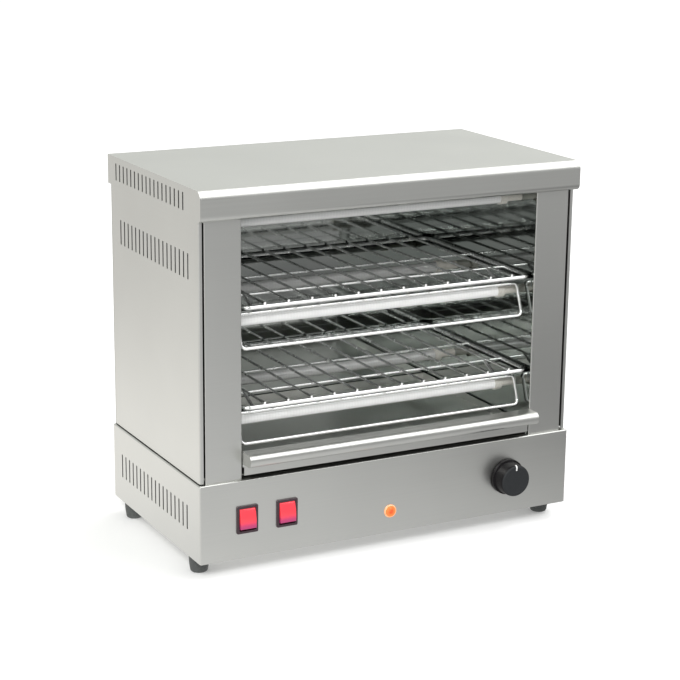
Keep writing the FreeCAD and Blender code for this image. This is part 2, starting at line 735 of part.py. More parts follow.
def make_cover():
    body = new_body("top_cover")
    gauge = given.skin_gauge
    nose = given.nose_round
    lip = given.lip_round
    lip_back = face_plane - given.lip_gap
    add(body, "x", -cover_side, cover_side,
        [(cover_front, skirt_bottom, lip), (cover_back, skirt_bottom), (cover_back, cover_top, gauge),
         (cover_front, cover_top, nose)])
    inner_front = cover_front + gauge
    cut(body, "x", -cover_side + gauge, cover_side - gauge,
        [(lip_back, skirt_bottom), (skirt_inner_back, skirt_bottom), (skirt_inner_back, cover_underside),
         (inner_front, cover_underside, nose - gauge), (inner_front, skirt_bottom + gauge, lip - gauge),
         (lip_back, skirt_bottom + gauge)])
    half_spacing = given.cover_screw_spacing / 2
    holes = [(x, cover_screw_z, screw_hole) for x in (-half_spacing, half_spacing)]
    cut(body, "y", skirt_inner_back, cover_back, *holes)
    louvres(body, -cover_side, cover_side, given.cover_louvre_shift,
            cover_top - given.cover_louvre_drop, given.cover_louvre_height)
    keep(body, "top_cover")
    under_head = [(x, cover_back, cover_screw_z) for x in (-half_spacing, half_spacing)]
    screws("cover_screws", "y", under_head, given.screw_reach / 2, 1)


def make_cover_brackets():
    """Two stepped brackets from the back panel out to the cover's back skirt."""
    inner = body_back + given.skin_gauge
    gauge = given.bracket_gauge
    step = panel_top + given.bracket_leg
    brackets = []
    for side in (-1, 1):
        middle = side * given.cover_screw_spacing / 2
        bracket = new_body("cover_bracket")
        add(bracket, "x", middle - given.bracket_width / 2, middle + given.bracket_width / 2,
            [(inner, panel_top), (inner + gauge, panel_top), (inner + gauge, step - gauge),
             (skirt_inner_back, step - gauge), (skirt_inner_back, bracket_top),
             (skirt_inner_back - gauge, bracket_top), (skirt_inner_back - gauge, step), (inner, step)])
        cut(bracket, "y", skirt_inner_back - gauge, skirt_inner_back, (middle, cover_screw_z, screw_hole))
        brackets.append(bracket)
    keep(group("cover_brackets", brackets), "cover_brackets")


# Inner walls: the upright beside the opening and the polished wall behind it are one folded sheet

def make_inner_walls():
    body = new_body("right_inner_wall")
    gauge = given.liner_gauge
    bend = given.stile_bend
    flange_side = cavity_side + given.liner_back_flange
    return_back = face_plane + given.stile_return
    add(body, "z", base_top, cover_underside,
        [(stile_side, return_back), (stile_side - gauge, return_back),
         (stile_side - gauge, face_plane + gauge, bend - gauge),
         (cavity_side + gauge, face_plane + gauge, bend - gauge),
         (cavity_side + gauge, cavity_back - gauge), (flange_side, cavity_back - gauge),
         (flange_side, cavity_back), (cavity_side, cavity_back), (cavity_side, face_plane, bend),
         (stile_side, face_plane, bend)])
    hole = given.cap_neck_diameter / 2 + given.seat_gap
    holes = [(y, z, hole) for y in tube_ys.values() for z in tube_zs.values()]
    cut(body, "x", cavity_side, cavity_side + gauge, *holes)
    keep_with_mirror(body, "inner_wall")


tube_ys = {"front": face_plane + given.tube_front_setback, "rear": face_plane + given.tube_rear_setback}
tube_zs = {"top": base_top + given.top_tube_height, "middle": base_top + given.middle_tube_height,
           "bottom": base_top + given.bottom_tube_height}


def make_cavity_back_wall():
    side = cavity_side + given.liner_back_flange
    wall = box("cavity_back_wall", (-side, side), (cavity_back, cavity_back + given.liner_gauge),
               (base_top, ceiling + given.ceiling_flange))
    keep(wall, "cavity_back_wall")


def make_ceiling():
    body = new_body("reflector_ceiling")
    gauge = given.liner_gauge
    high = ceiling + given.ceiling_flange
    add(body, "y", face_plane + given.stile_bend, cavity_back,
        [(-cavity_side, ceiling), (cavity_side, ceiling), (cavity_side, high), (cavity_side - gauge, high),
         (cavity_side - gauge, ceiling + gauge), (-cavity_side + gauge, ceiling + gauge),
         (-cavity_side + gauge, high), (-cavity_side, high)])
    keep(body, "reflector_ceiling")


# Rails and runners: angles on the cavity's walls that carry the racks and the crumb tray

rack_zs = {"upper": base_top + given.upper_rack_height, "lower": base_top + given.lower_rack_height}
frame_side = cavity_side - given.rack_side_gap - given.rim_wire / 2
grid_side = frame_side - given.grid_margin
grid_pitch = 2 * grid_side / (given.grid_count - 1)
grid_rise = given.rim_wire / 2 + given.grid_wire / 2 - given.weld_sink
cross_rise = grid_rise - given.grid_wire + given.weld_sink
rail_tops = {deck: z - given.rim_wire / 2 - given.seat_gap for deck, z in rack_zs.items()}


def angle_rail(name, width, front, low, high, gauge):
    """An angle along Y on the right-hand wall, its ledge at the top of its leg."""
    body = new_body(name)
    add(body, "y", front, cavity_back,
        [(cavity_side - width, high - gauge), (cavity_side - gauge, high - gauge),
         (cavity_side - gauge, low), (cavity_side, low), (cavity_side, high), (cavity_side - width, high)])
    return body


def make_rails():
    gauge = given.rail_gauge
    for deck, top in rail_tops.items():
        rail = angle_rail(f"{deck}_rail", given.rail_width, face_plane + given.rail_front_inset,
                          top - given.rail_leg, top, gauge)
        keep_with_mirror(rail, f"{deck}_rail")
        side = cavity_side - given.rail_width - given.seat_gap
        rear = new_body(f"{deck}_rear_rail")
        front = cavity_back - given.rail_width
        add(rear, "x", -side, side,
            [(front, top - gauge), (cavity_back, top - gauge), (cavity_back, top + given.rail_upstand),
             (cavity_back - gauge, top + given.rail_upstand), (cavity_back - gauge, top), (front, top)])
        keep(rear, f"{deck}_rear_rail")
    runner = angle_rail("tray_runner", given.runner_width, face_plane + given.rail_front_inset,
                        base_top, base_top + given.tray_lift - given.seat_gap, gauge)
    keep_with_mirror(runner, "tray_runner")


# Heaters: a quartz tube over a coil, held at each end by a ceramic cap whose neck passes the wall

def make_heaters():
    standoffs = {-1: given.left_collar_standoff, 1: given.collar_standoff}
    collar_inners = {side: cavity_side - gap - given.collar_length for side, gap in standoffs.items()}
    tube_ends = {side: inner + given.collar_socket_depth - given.seat_gap
                 for side, inner in collar_inners.items()}
    tube_length = tube_ends[-1] + tube_ends[1]
    tube_start = -tube_ends[-1]
    for level, z in tube_zs.items():
        coils = []
        caps = []
        for row, y in tube_ys.items():
            name = f"{level}_{row}_quartz_tube"
            glass = rod("glass", "x", given.tube_diameter, tube_length, tube_start, y, z)
            bore = rod("bore", "x", given.tube_bore, tube_length, tube_start, y, z)
            keep(subtract(name, glass, bore), name)
            coils.append(rod("coil", "x", given.coil_diameter, tube_length, tube_start, y, z))
            socket = given.tube_diameter + 2 * given.fit_gap
            for side, standoff in standoffs.items():
                collar_inner = collar_inners[side]
                collar_outer = cavity_side - standoff
                neck_length = standoff + given.cap_tail
                collar_start = collar_inner if side > 0 else -collar_outer
                neck_start = collar_outer if side > 0 else -collar_outer - neck_length
                socket_start = collar_inner if side > 0 else -collar_inner - given.collar_socket_depth
                collar = rod("collar", "x", given.collar_diameter, given.collar_length, collar_start, y, z)
                neck = rod("neck", "x", given.cap_neck_diameter, neck_length, neck_start, y, z)
                seat = rod("seat", "x", socket, given.collar_socket_depth, socket_start, y, z)
                caps.append(subtract("ceramic_cap", fuse("cap_blank", collar, neck), seat))
        keep(group(f"{level}_heating_coils", coils), f"{level}_heating_coils")
        keep(group(f"{level}_ceramic_caps", caps), f"{level}_ceramic_caps")


# Racks: a bent frame wire, cross wires below and grid wires on top, all welded

def make_rack(deck):
    body = new_body(f"{deck}_rack")
    z = rack_zs[deck]
    rim = given.rim_wire / 2
    wire = given.grid_wire / 2
    side = frame_side
    front = face_plane + given.rack_front_inset
    rear = cavity_back - given.rail_gauge - given.rack_rear_gap - rim
    corner = given.rack_corner
    pipe(body, "XY_Plane", z,
         [(side, 0), (side, rear, corner), (-side, rear, corner), (-side, front, corner),
          (side, front, corner)],
         "XZ_Plane", (side, z, rim))
    grid_z = z + grid_rise
    for setback in (given.first_cross_wire, given.second_cross_wire):
        add(body, "x", -side, side, (front + setback, z + cross_rise, wire))
    first = add(body, "y", front - rim / 2, rear, (-grid_side, grid_z, wire))
    repeat(body, first, "X_Axis", grid_pitch, given.grid_count)
    keep(body, f"{deck}_rack")


# Handles: a closed wire loop that hangs under the rack's front, tilted with its foot forward. Two
# slanted hangers join it to the first cross wire, under the outermost grid wires.

def make_handle(deck, height):
    z = rack_zs[deck] - given.handle_drop
    y = face_plane + given.rack_front_inset + given.handle_setback
    side = cavity_side - given.handle_side_gap
    wire = given.handle_wire / 2
    corner = given.handle_corner
    loop = new_body(f"{deck}_handle_loop")
    pipe(loop, "XZ_Plane", 0,
         [(0, -height), (side, -height, corner), (side, 0, corner), (-side, 0, corner),
          (-side, -height, corner)],
         "YZ_Plane", (0, -height, wire))
    loop.Placement = FreeCAD.Placement(FreeCAD.Vector(), FreeCAD.Rotation(FreeCAD.Vector(1, 0, 0), -20))
    loop.setExpression("Placement.Rotation.Angle", (-given.handle_tilt).formula)
    place(loop, 0, y, z)
    run = given.first_cross_wire - given.handle_setback
    rise = given.handle_drop + cross_rise
    hangers = []
    for x in (-grid_side, grid_side):
        hanger = rod("hanger", "z", given.handle_wire, square_root(run * run + rise * rise), x, y, z)
        hanger.Placement.Rotation = FreeCAD.Rotation(FreeCAD.Vector(1, 0, 0), -60)
        hanger.setExpression("Placement.Rotation.Angle", (-arctangent(run / rise)).formula)
        hangers.append(hanger)
    keep(fuse(f"{deck}_rack_handle", loop, *hangers), f"{deck}_rack_handle")


# Crumb tray: a shallow pan whose front is folded up, forward and round into a pull with closed ends

def make_tray():
    body = new_body("crumb_tray")
    gauge = given.tray_gauge
    low = base_top + given.tray_lift
    high = low + given.tray_wall
    flange = face_plane - given.tray_flange_proud
    rear = cavity_back - given.tray_rear_gap
    pull_top = base_top + given.pull_top
    pull_bottom = pull_top - given.pull_height
    pull_front = face_plane - given.pull_reach
    hem_end = pull_front + given.pull_round + given.pull_hem
    outer = given.pull_round
    inner = given.pull_round - gauge
    wide = cavity_side - given.tray_flange_gap
    side = cavity_side - given.tray_side_gap
    add(body, "x", -wide, wide,
        [(rear, low), (rear, low + gauge), (flange + gauge, low + gauge), (flange + gauge, pull_top),
         (pull_front, pull_top, outer), (pull_front, pull_bottom, outer), (hem_end, pull_bottom),
         (hem_end, pull_bottom + gauge), (pull_front + gauge, pull_bottom + gauge, inner),
         (pull_front + gauge, pull_top - gauge, inner), (flange, pull_top - gauge), (flange, low)])
    for start, end in ((wide - gauge, wide), (-wide, -wide + gauge)):
        add(body, "x", start, end,
            [(flange, pull_bottom), (flange, pull_top), (pull_front, pull_top, outer),
             (pull_front, pull_bottom, outer)])
    for start, end in ((side, wide), (-wide, -side)):
        cut(body, "x", start, end, rectangle(flange, low, rear, high))
    for start, end in ((side - gauge, side), (-side, -side + gauge)):
        add(body, "x", start, end, rectangle(flange, low, rear, high))
    add(body, "y", rear - gauge, rear, rectangle(-side, low, side, high))
    keep(body, "crumb_tray")


# Rocker switches: a snap-in body with a well, and a rocker on a pin across the well

def make_switch(name, x):
    body = new_body(f"{name}_switch_body")
    half_width = given.switch_width / 2
    half_height = given.switch_height / 2
    front = base_front - given.switch_bezel
    back = base_front + given.switch_body_depth
    add(body, "y", front, base_front,
        rectangle(x - half_width, switch_z - half_height, x + half_width, switch_z + half_height))
    front_edge = front.value + 0.01
    round_edges(body, given.switch_bezel / 2, lambda middle: middle.y < front_edge)
    body_half = given.switch_body_width / 2
    body_high = given.switch_body_height / 2
    add(body, "y", base_front, back,
        rectangle(x - body_half, switch_z - body_high, x + body_half, switch_z + body_high))
    well_half = body_half - given.switch_wall
    well_high = body_high - given.switch_wall
    cut(body, "y", front, base_front + given.switch_well,
        rectangle(x - well_half, switch_z - well_high, x + well_half, switch_z + well_high))
    pivot_y = base_front + given.rocker_pivot
    cut(body, "x", x - body_half, x + body_half, (pivot_y, switch_z, given.rocker_pin / 2 + given.fit_gap))
    keep(body, f"{name}_switch_body")

    rocker = new_body(f"{name}_rocker")
    end = given.rocker_end
    tilt = given.rocker_tilt
    high = (well_high - given.rocker_gap - end * sine(tilt)) / cosine(tilt)
    width = well_half - given.rocker_gap
    back_high = high - given.rocker_pin
    add(rocker, "x", -width, width,
        [(-end, high, given.rocker_gap), (-given.rocker_crest, 0), (-end, -high, given.rocker_gap),
         (-given.rocker_pin, -high), (given.rocker_pin, -back_high / 2), (given.rocker_pin, back_high / 2),
         (-given.rocker_pin, high)])
    pin_half = body_half - given.switch_wall / 2
    add(rocker, "x", -pin_half, pin_half, (0, 0, given.rocker_pin / 2))
    rocker.Placement = FreeCAD.Placement(FreeCAD.Vector(), FreeCAD.Rotation(FreeCAD.Vector(1, 0, 0), -9))
    rocker.setExpression("Placement.Rotation.Angle", (-tilt).formula)
    place(rocker, x, pivot_y, switch_z)
    keep(rocker, f"{name}_rocker")


# Pilot lamp: a body with a bezel, and a bevelled lens in it

def make_pilot():
    bezel = given.pilot_bezel_diameter / 2
    barrel = given.pilot_body_diameter / 2
    bore = given.lens_diameter / 2 + given.fit_gap
    lens = given.lens_diameter / 2
    bevel = given.pilot_bezel / 2
    body = turn("pilot_body", [(bore, -given.pilot_bezel), (bezel - bevel, -given.pilot_bezel),
                               (bezel, -bevel), (bezel, 0), (barrel, 0), (barrel, given.pilot_body_depth),
                               (0, given.pilot_body_depth), (0, given.lens_depth), (bore, given.lens_depth)])
    keep(place(body, pilot_x, base_front, pilot_z), "pilot_body")
    dome = turn("pilot_lens", [(0, -given.lens_proud), (lens / 2, -given.lens_proud),
                               (lens, -given.lens_proud / 2), (lens, given.lens_depth),
                               (0, given.lens_depth)])
    keep(place(dome, pilot_x, base_front, pilot_z), "pilot_lens")


# Control knob on the regulator's shaft, with a white mark let into its face and over the face's edge

def make_knob():
    back = -given.knob_gap
    face = back - given.knob_depth
    skirt_front = back - given.knob_skirt
    skirt = given.knob_skirt_diameter / 2
    bevel = given.knob_bevel
    foot = skirt - bevel - given.knob_shoulder
    rim = foot - given.knob_taper
    hollow = given.knob_hollow_diameter / 2
    hollow_end = back - given.knob_hollow_depth
    bore = given.shaft_diameter / 2 + given.fit_gap
    bore_end = (face + hollow_end) / 2
    blank = turn("knob_blank", [(hollow, back), (skirt, back), (skirt, skirt_front + bevel),
                                (skirt - bevel, skirt_front), (foot, skirt_front), (rim, face + bevel),
                                (rim - bevel, face), (0, face), (0, bore_end), (bore, bore_end),
                                (bore, hollow_end), (hollow, hollow_end)])
    depth = given.pointer_depth
    lap = face + given.pointer_lap
    strip = new_body("mark_strip")
    add(strip, "x", -given.pointer_width / 2, given.pointer_width / 2,
        [(face - depth, rim - given.pointer_length), (face + depth, rim - given.pointer_length),
         (face + depth, rim - bevel - depth), (face + bevel + depth, rim - depth), (lap, rim - depth),
         (lap, foot), (face - depth, foot)])
    for piece in (blank, strip):
        place(piece, knob_x, base_front, knob_z)
    keep(subtract("control_knob", blank, strip), "control_knob")
    mark = document.addObject("Part::MultiCommon", "knob_pointer")
    mark.Shapes = [blank, strip]
    keep(mark, "knob_pointer")
    shaft_front = base_front + bore_end + given.seat_gap
    shaft = rod("regulator_shaft", "y", given.shaft_diameter, given.shaft_length, knob_x, shaft_front, knob_z)
    keep(shaft, "regulator_shaft")


def make_regulator():
    half = given.regulator_width / 2
    box_y = (base_inner_front, base_front + given.regulator_depth)
    case = box("regulator_case", (knob_x - half, knob_x + half), box_y, (knob_z - half, knob_z + half))
    front = base_front - given.bushing_length
    bushing = rod("bushing", "y", given.bushing_diameter, given.bushing_length + given.base_gauge,
                  knob_x, front, knob_z)
    bore = rod("shaft_bore", "y", given.shaft_diameter + 2 * given.fit_gap,
               given.bushing_length + given.regulator_depth, knob_x, front, knob_z)
    keep(subtract("regulator", fuse("regulator_blank", case, bushing), bore), "regulator")
    nut = hexagon("nut_blank", given.bushing_nut_width, given.bushing_nut,
                  knob_x, base_front - given.bushing_nut, knob_z)
    nut_bore = rod("nut_bore", "y", given.bushing_diameter + 2 * given.fit_gap, given.bushing_nut,
                   knob_x, base_front - given.bushing_nut, knob_z)
    keep(subtract("regulator_nut", nut, nut_bore), "regulator_nut")


# Cable gland in the back of the base, and the terminal block behind it

def make_gland():
    flange = hexagon("gland_flange", given.gland_flange_width, given.gland_flange, gland_x, base_back, gland_z)
    thread_start = base_back - given.base_gauge - given.gland_thread_length
    thread = rod("gland_thread", "y", given.gland_thread, given.gland_thread_length + given.base_gauge,
                 gland_x, thread_start, gland_z)
    neck_start = base_back + given.gland_flange
    neck = rod("gland_neck", "y", given.gland_neck, given.gland_neck_length, gland_x, neck_start, gland_z)
    whole = neck_start + given.gland_neck_length - thread_start
    bore = rod("gland_bore", "y", given.gland_bore, whole, gland_x, thread_start, gland_z)
    keep(subtract("cable_gland", fuse("gland_blank", flange, thread, neck), bore), "cable_gland")
    nut_start = neck_start + given.seat_gap
    nut = hexagon("dome_nut", given.dome_nut_width, given.dome_nut_length, gland_x, nut_start, gland_z)
    dome = document.addObject("Part::Cone", "dome")
    flat = math.cos(math.pi / 6)
    bind(dome, Radius1=given.dome_nut_width / 2 * round(flat, 6), Radius2=given.dome_mouth_diameter / 2,
         Height=given.dome_length)
    dome.Placement = FreeCAD.Placement(FreeCAD.Vector(), AXIS_TURNS["y"])
    dome_start = nut_start + given.dome_nut_length
    place(dome, gland_x, dome_start, gland_z)
    seat = rod("dome_seat", "y", given.gland_neck + 2 * given.fit_gap, given.gland_neck_length,
               gland_x, nut_start, gland_z)
    mouth = rod("dome_mouth", "y", given.gland_bore, given.dome_nut_length + given.dome_length,
                gland_x, nut_start, gland_z)
    keep(subtract("gland_dome_nut", fuse("dome_blank", nut, dome), fuse("dome_hollow", seat, mouth)),
         "gland_dome_nut")
    lock_start = base_inner_back - given.locknut
    lock = hexagon("lock_blank", given.locknut_width, given.locknut, gland_x, lock_start, gland_z)
    lock_bore = rod("lock_bore", "y", given.gland_thread + 2 * given.fit_gap, given.locknut,
                    gland_x, lock_start, gland_z)
    keep(subtract("gland_locknut", lock, lock_bore), "gland_locknut")


def make_terminal_block():
    plate = base_bottom + given.plate_gauge
    back = base_back - given.block_back_gap
    half = given.block_width / 2
    block = new_body("terminal_block")
    add(block, "z", plate, plate + given.block_height,
        rectangle(gland_x - half, back - given.block_depth, gland_x + half, back))
    pole = given.block_width / 3
    screw_top = plate + given.block_height
    for step in (-1, 0, 1):
        well = (gland_x + step * pole, back - given.block_depth / 2, given.screw_diameter / 2)
        cut(block, "z", screw_top - given.block_height / 2, screw_top, well)
    keep(block, "terminal_block")


make_base_housing()
make_bottom_plate()
make_feet()
make_side_panels()
make_back_panel()
make_cover()
make_cover_brackets()
make_inner_walls()
make_cavity_back_wall()
make_ceiling()
make_rails()
make_heaters()
lower_bar = base_top + given.pull_top + given.handle_tray_gap + given.handle_wire / 2
lower_drop = rack_zs["lower"] - given.handle_drop - lower_bar
make_rack("upper")
make_handle("upper", given.upper_handle_height)
make_rack("lower")
make_handle("lower", lower_drop / cosine(given.handle_tilt))
make_tray()
for switch_name, switch_x in zip(("left", "right"), switch_xs):
    make_switch(switch_name, switch_x)
make_pilot()
make_knob()
make_regulator()
make_gland()
make_terminal_block()

document.recompute()


def check(document, nodes, cuts):
    """Stop before anything is written if an object failed or a cut removed nothing."""
    for item in document.Objects:
        for state in item.State:
            if state in ("Invalid", "Error"):
                raise RuntimeError(f"{item.Label} could not be built")
    for feature in cuts:
        if feature.Shape.Volume >= feature.BaseFeature.Shape.Volume:
            raise RuntimeError(f"{feature.Label} cuts nothing")
    for node in nodes:
        if node.Shape.isNull() or not node.Shape.isValid() or not node.Shape.Solids:
            raise RuntimeError(f"{node.Label} has no valid shape")


check(document, nodes, cuts)
os.makedirs("parts", exist_ok=True)
for node in nodes:
    node.Shape.exportStep(f"parts/{node.Label}.step")
print(len(nodes), "pieces written")
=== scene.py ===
# %% [markdown]
# # A two-deck bar toaster in folded stainless sheet
# The packed CAD model is the skeleton of this scene. Its sheets, rails and wires are already right in
# shape, so they stay and only get their finish. Small pieces that a hand would look at closely, such as
# the rockers and the knob, are modelled again here with softer edges and more detail. Blender counts in
# metres; sizes of pieces are written below in mm, as on a drawing, and `mm` turns them into metres.

# %% Load the packed model
import json
import math

import bmesh
import bpy
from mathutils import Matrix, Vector

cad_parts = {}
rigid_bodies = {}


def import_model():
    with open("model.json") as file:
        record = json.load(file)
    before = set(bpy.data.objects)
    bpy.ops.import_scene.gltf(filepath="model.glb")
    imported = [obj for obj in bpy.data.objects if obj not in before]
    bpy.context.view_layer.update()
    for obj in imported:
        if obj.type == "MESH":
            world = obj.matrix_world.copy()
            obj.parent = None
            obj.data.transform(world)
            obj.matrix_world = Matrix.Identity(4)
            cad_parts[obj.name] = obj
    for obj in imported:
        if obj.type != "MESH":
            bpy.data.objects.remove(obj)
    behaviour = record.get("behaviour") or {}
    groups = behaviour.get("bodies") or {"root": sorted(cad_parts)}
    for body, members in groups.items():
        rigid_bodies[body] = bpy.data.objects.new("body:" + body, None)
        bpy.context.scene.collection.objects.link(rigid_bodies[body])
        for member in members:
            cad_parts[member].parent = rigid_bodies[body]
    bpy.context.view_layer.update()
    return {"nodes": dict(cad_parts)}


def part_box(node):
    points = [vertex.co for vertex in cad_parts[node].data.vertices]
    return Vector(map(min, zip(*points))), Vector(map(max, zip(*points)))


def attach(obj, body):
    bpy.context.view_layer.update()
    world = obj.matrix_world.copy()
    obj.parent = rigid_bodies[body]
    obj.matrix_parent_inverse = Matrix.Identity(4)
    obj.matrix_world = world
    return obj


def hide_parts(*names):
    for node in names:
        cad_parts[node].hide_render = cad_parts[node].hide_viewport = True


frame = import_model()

mm = 0.001
nodes = frame["nodes"]

# %% [markdown]
# ## Camera
# The photo was taken from the front left, a little above the cover, with a long lens, so upright edges
# stay nearly upright. The camera could be placed by eye, but then no edge lies quite where it should.
# The place and the angles below were found by matching measured corners of the housing, the cover and
# the feet to the picture.

# %% Camera
scene = bpy.context.scene
camera_data = bpy.data.cameras.new("camera")
camera_data.lens = 101.564
camera = bpy.data.objects.new("camera", camera_data)
scene.collection.objects.link(camera)
camera.location = (-0.96027, -1.82565, 0.75500)
camera.rotation_euler = [math.radians(angle) for angle in (75.0711, -0.5969, -27.5559)]
bpy.context.scene.camera = camera
print("camera", tuple(round(v, 3) for v in camera.location), "lens", camera_data.lens)

# %% [markdown]
# ## Sums inside a shader
# Shader maths is laid out as Math nodes, one for each sum. They could be placed and linked one by one,
# but a formula soon takes twenty lines. This small class lets the cells below write such sums as plain
# arithmetic: adding or multiplying two outputs lays the node and its links, also with a plain number
# in front, as in 1 - mask, and `node` adds a node of any other kind.

# %% Shader arithmetic
class Shade:
    """One output of a node tree. Sums and products of it add the Math nodes that they need."""

    def __init__(self, tree, socket=None):
        self.tree = tree
        self.socket = socket

    def node(self, kind, settings=None, inputs=None, output=0):
        """Add a node: its settings first, then the values or links of its sockets."""
        made = self.tree.nodes.new(kind)
        for name, value in (settings or {}).items():
            setattr(made, name, value)
        for name, value in (inputs or {}).items():
            if isinstance(value, Shade):
                self.tree.links.new(value.socket, made.inputs[name])
            else:
                made.inputs[name].default_value = value
        return Shade(self.tree, made.outputs[output]) if made.outputs else None

    def math(self, operation, *values):
        return self.node("ShaderNodeMath", {"operation": operation}, dict(enumerate(values)))

    def __add__(self, other):
        return self.math("ADD", self, other)

    def __radd__(self, other):
        return self.math("ADD", other, self)

    def __sub__(self, other):
        return self.math("SUBTRACT", self, other)

    def __rsub__(self, other):
        return self.math("SUBTRACT", other, self)

    def __mul__(self, other):
        return self.math("MULTIPLY", self, other)

    def __rmul__(self, other):
        return self.math("MULTIPLY", other, self)

    def length_with(self, other):
        """The length of the slope that has these two as its sides."""
        return self.math("SQRT", self * self + other * other)

    def waves(self, pitch):
        """A wave between 0 and 1 that comes back at every pitch."""
        return 0.5 + 0.5 * self.math("SINE", self * (2 * math.pi / pitch))

    def clamp(self):
        return self.node("ShaderNodeClamp", {}, {"Value": self})

    def between(self, low, high):
        """A soft step from 0 at low to 1 at high."""
        return self.node("ShaderNodeMapRange", {"interpolation_type": "SMOOTHSTEP"},
                         {"Value": self, "From Min": low, "From Max": high})

    def blend(self, low, high):
        """Mix two colours by this value."""
        low, high = [color if isinstance(color, Shade) else (*color, 1) for color in (low, high)]
        return self.node("ShaderNodeMix", {"data_type": "RGBA"}, {0: self, 6: low, 7: high}, output=2)

    def parts(self):
        """The three numbers of a vector."""
        split = self.node("ShaderNodeSeparateXYZ", {}, {0: self})
        return [Shade(self.tree, output) for output in split.socket.node.outputs]

    def vector(self, x, y, z):
        return self.node("ShaderNodeCombineXYZ", {}, {"X": x, "Y": y, "Z": z})


print("a Shade knows", [name for name in vars(Shade) if not name.startswith("_")])

# %% [markdown]
# ## World
# Stainless sheet has hardly a colour of its own. It shows what stands around it, so the studio is made
# first: pale with a trace of yellow green behind and on the left, greyer in front and on the right, and
# dimmer overhead. A picture of a real studio could stand around the object, but a few soft steps are
# easier to steer. The camera itself sees plain white behind the floor.

# %% World
scene.view_settings.view_transform = "Standard"
world = bpy.data.worlds.new("studio")
scene.world = world
world.use_nodes = True
world.node_tree.nodes.clear()


def toward_grey_side(place):
    """How far a place or a direction leans to the front right, the grey side of the studio."""
    return place[0] * 0.75 - place[1] * 0.66


pale_level, grey_level, overhead_level = 0.84, 0.38, 0.70
yellowish_white, plain_white = (0.985, 1.0, 0.965), (1, 1, 1)
sky = Shade(world.node_tree)
direction = sky.node("ShaderNodeTexCoord", output="Generated").parts()
grey_share = toward_grey_side(direction).between(-0.2, 0.7)
horizon = pale_level - grey_share * (pale_level - grey_level)
overhead = direction[2].between(0.2, 0.8)
studio_grey = horizon + overhead * (overhead_level - horizon)
seen_by_camera = sky.node("ShaderNodeLightPath", output="Is Camera Ray")
strength = seen_by_camera + (1 - seen_by_camera) * studio_grey
tint = (seen_by_camera + grey_share).clamp().blend(yellowish_white, plain_white)
background = sky.node("ShaderNodeBackground", {}, {"Color": tint, "Strength": strength})
sky.node("ShaderNodeOutputWorld", {}, {"Surface": background})
print("world of", len(world.node_tree.nodes), "nodes")

# %% [markdown]
# ## Lamps
# One broad soft box hangs above on the right. The cover's round front edge and the tray's pull see it
# as a white line. A smaller lamp at the front left lights what is not metal: plastics and tubes. Spots
# or a sun would draw hard shadows, and an area lamp has the soft edge of a photographer's soft box.

# %% Lamps
def soft_lamp(name, place, target, length, width, power):
    """A soft box: an area lamp with its long side level, pointing at a target."""
    lamp_data = bpy.data.lights.new(name, "AREA")
    lamp_data.shape = "RECTANGLE"
    lamp_data.size = length
    lamp_data.size_y = width
    lamp_data.energy = power
    lamp = bpy.data.objects.new(name, lamp_data)
    scene.collection.objects.link(lamp)
    lamp.location = place
    lamp.rotation_euler = (Vector(target) - Vector(place)).to_track_quat("-Z", "Y").to_euler()
    print(name, "of", power, "W")


soft_lamp("overhead_soft_box", (1.05, -0.95, 2.0), (0, -0.95, 0.35), length=4.4, width=2.2, power=54)
soft_lamp("front_left_lamp", (-1.7, -2.3, 2.1), (0, 0, 0.2), length=0.9, width=0.9, power=56)

# %% [markdown]
# ## Floor
# The object stands on a white table that has no visible end. A curved backdrop could do that, but a
# plane that is far wider than the view looks the same from every side.

# %% Floor plane
def start_clean():
    """Leave edit mode and deselect everything, because an operator acts on all that is selected."""
    if bpy.context.object and bpy.context.object.mode != "OBJECT":
        bpy.ops.object.mode_set(mode="OBJECT")
    for item in bpy.context.view_layer.objects:
        item.select_set(False)


start_clean()
bpy.ops.mesh.primitive_plane_add(size=60, location=(0, 0, 0))
floor = bpy.context.object
floor.name = "floor"
print("floor of", round(floor.dimensions.x), "m")

# %% [markdown]
# ## Floor finish
# The camera sees a white floor that keeps the object's soft shadow. The steel sees the same floor as a
# pool of light: brightest close to the object on its left, fading to the front and the right, with a
# darker patch at the front right. That fading is what turns the side panel lighter towards its foot and
# the right upright darker than the left one. One plane does both, because Is Camera Ray tells a look
# from a reflection.

# %% Floor finish
def new_material(name):
    """An empty material and the start of its shader maths."""
    material = bpy.data.materials.new(name)
    material.use_nodes = True
    material.node_tree.nodes.clear()
    return material, Shade(material.node_tree)


def texture_point(shade):
    """A point of the piece in its own coordinates, which a pattern can follow."""
    return shade.node("ShaderNodeTexCoord", output="Object")


spot_x, spot_y = 0.55, -0.65
pale_level, grey_level = 1.2, 0.78
floor_material, shade = new_material("studio_floor")
place = texture_point(shade).parts()
distance = place[0].length_with(place[1])
to_spot = (place[0] - spot_x).length_with(place[1] - spot_y)
shady_spot = 1 - to_spot.between(0.1, 0.6)
fading = place[0].between(-0.15, 0.5) * 0.33
grey_side = grey_level - fading - shady_spot * 0.19 + distance.between(1.2, 2) * 0.03
pale_side = pale_level - distance.between(0.4, 1.5) * 0.38
grey_share = toward_grey_side(place).between(-0.5, 0.15)
pool = pale_side + grey_share * (grey_side - pale_side)
tint = grey_share.blend((1, 0.98, 0.95), plain_white)
reflected = shade.node("ShaderNodeEmission", {}, {"Color": tint, "Strength": pool})
white = shade.node("ShaderNodeBsdfDiffuse", {}, {"Color": (0.88, 0.88, 0.88, 1)})
glow_strength = 0.15 + 0.32 * distance.between(0.5, 2.5)
glow = shade.node("ShaderNodeEmission", {}, {"Color": (1, 1, 1, 1), "Strength": glow_strength})
seen = shade.node("ShaderNodeAddShader", {}, {0: white, 1: glow})
camera_ray = shade.node("ShaderNodeLightPath", output="Is Camera Ray")
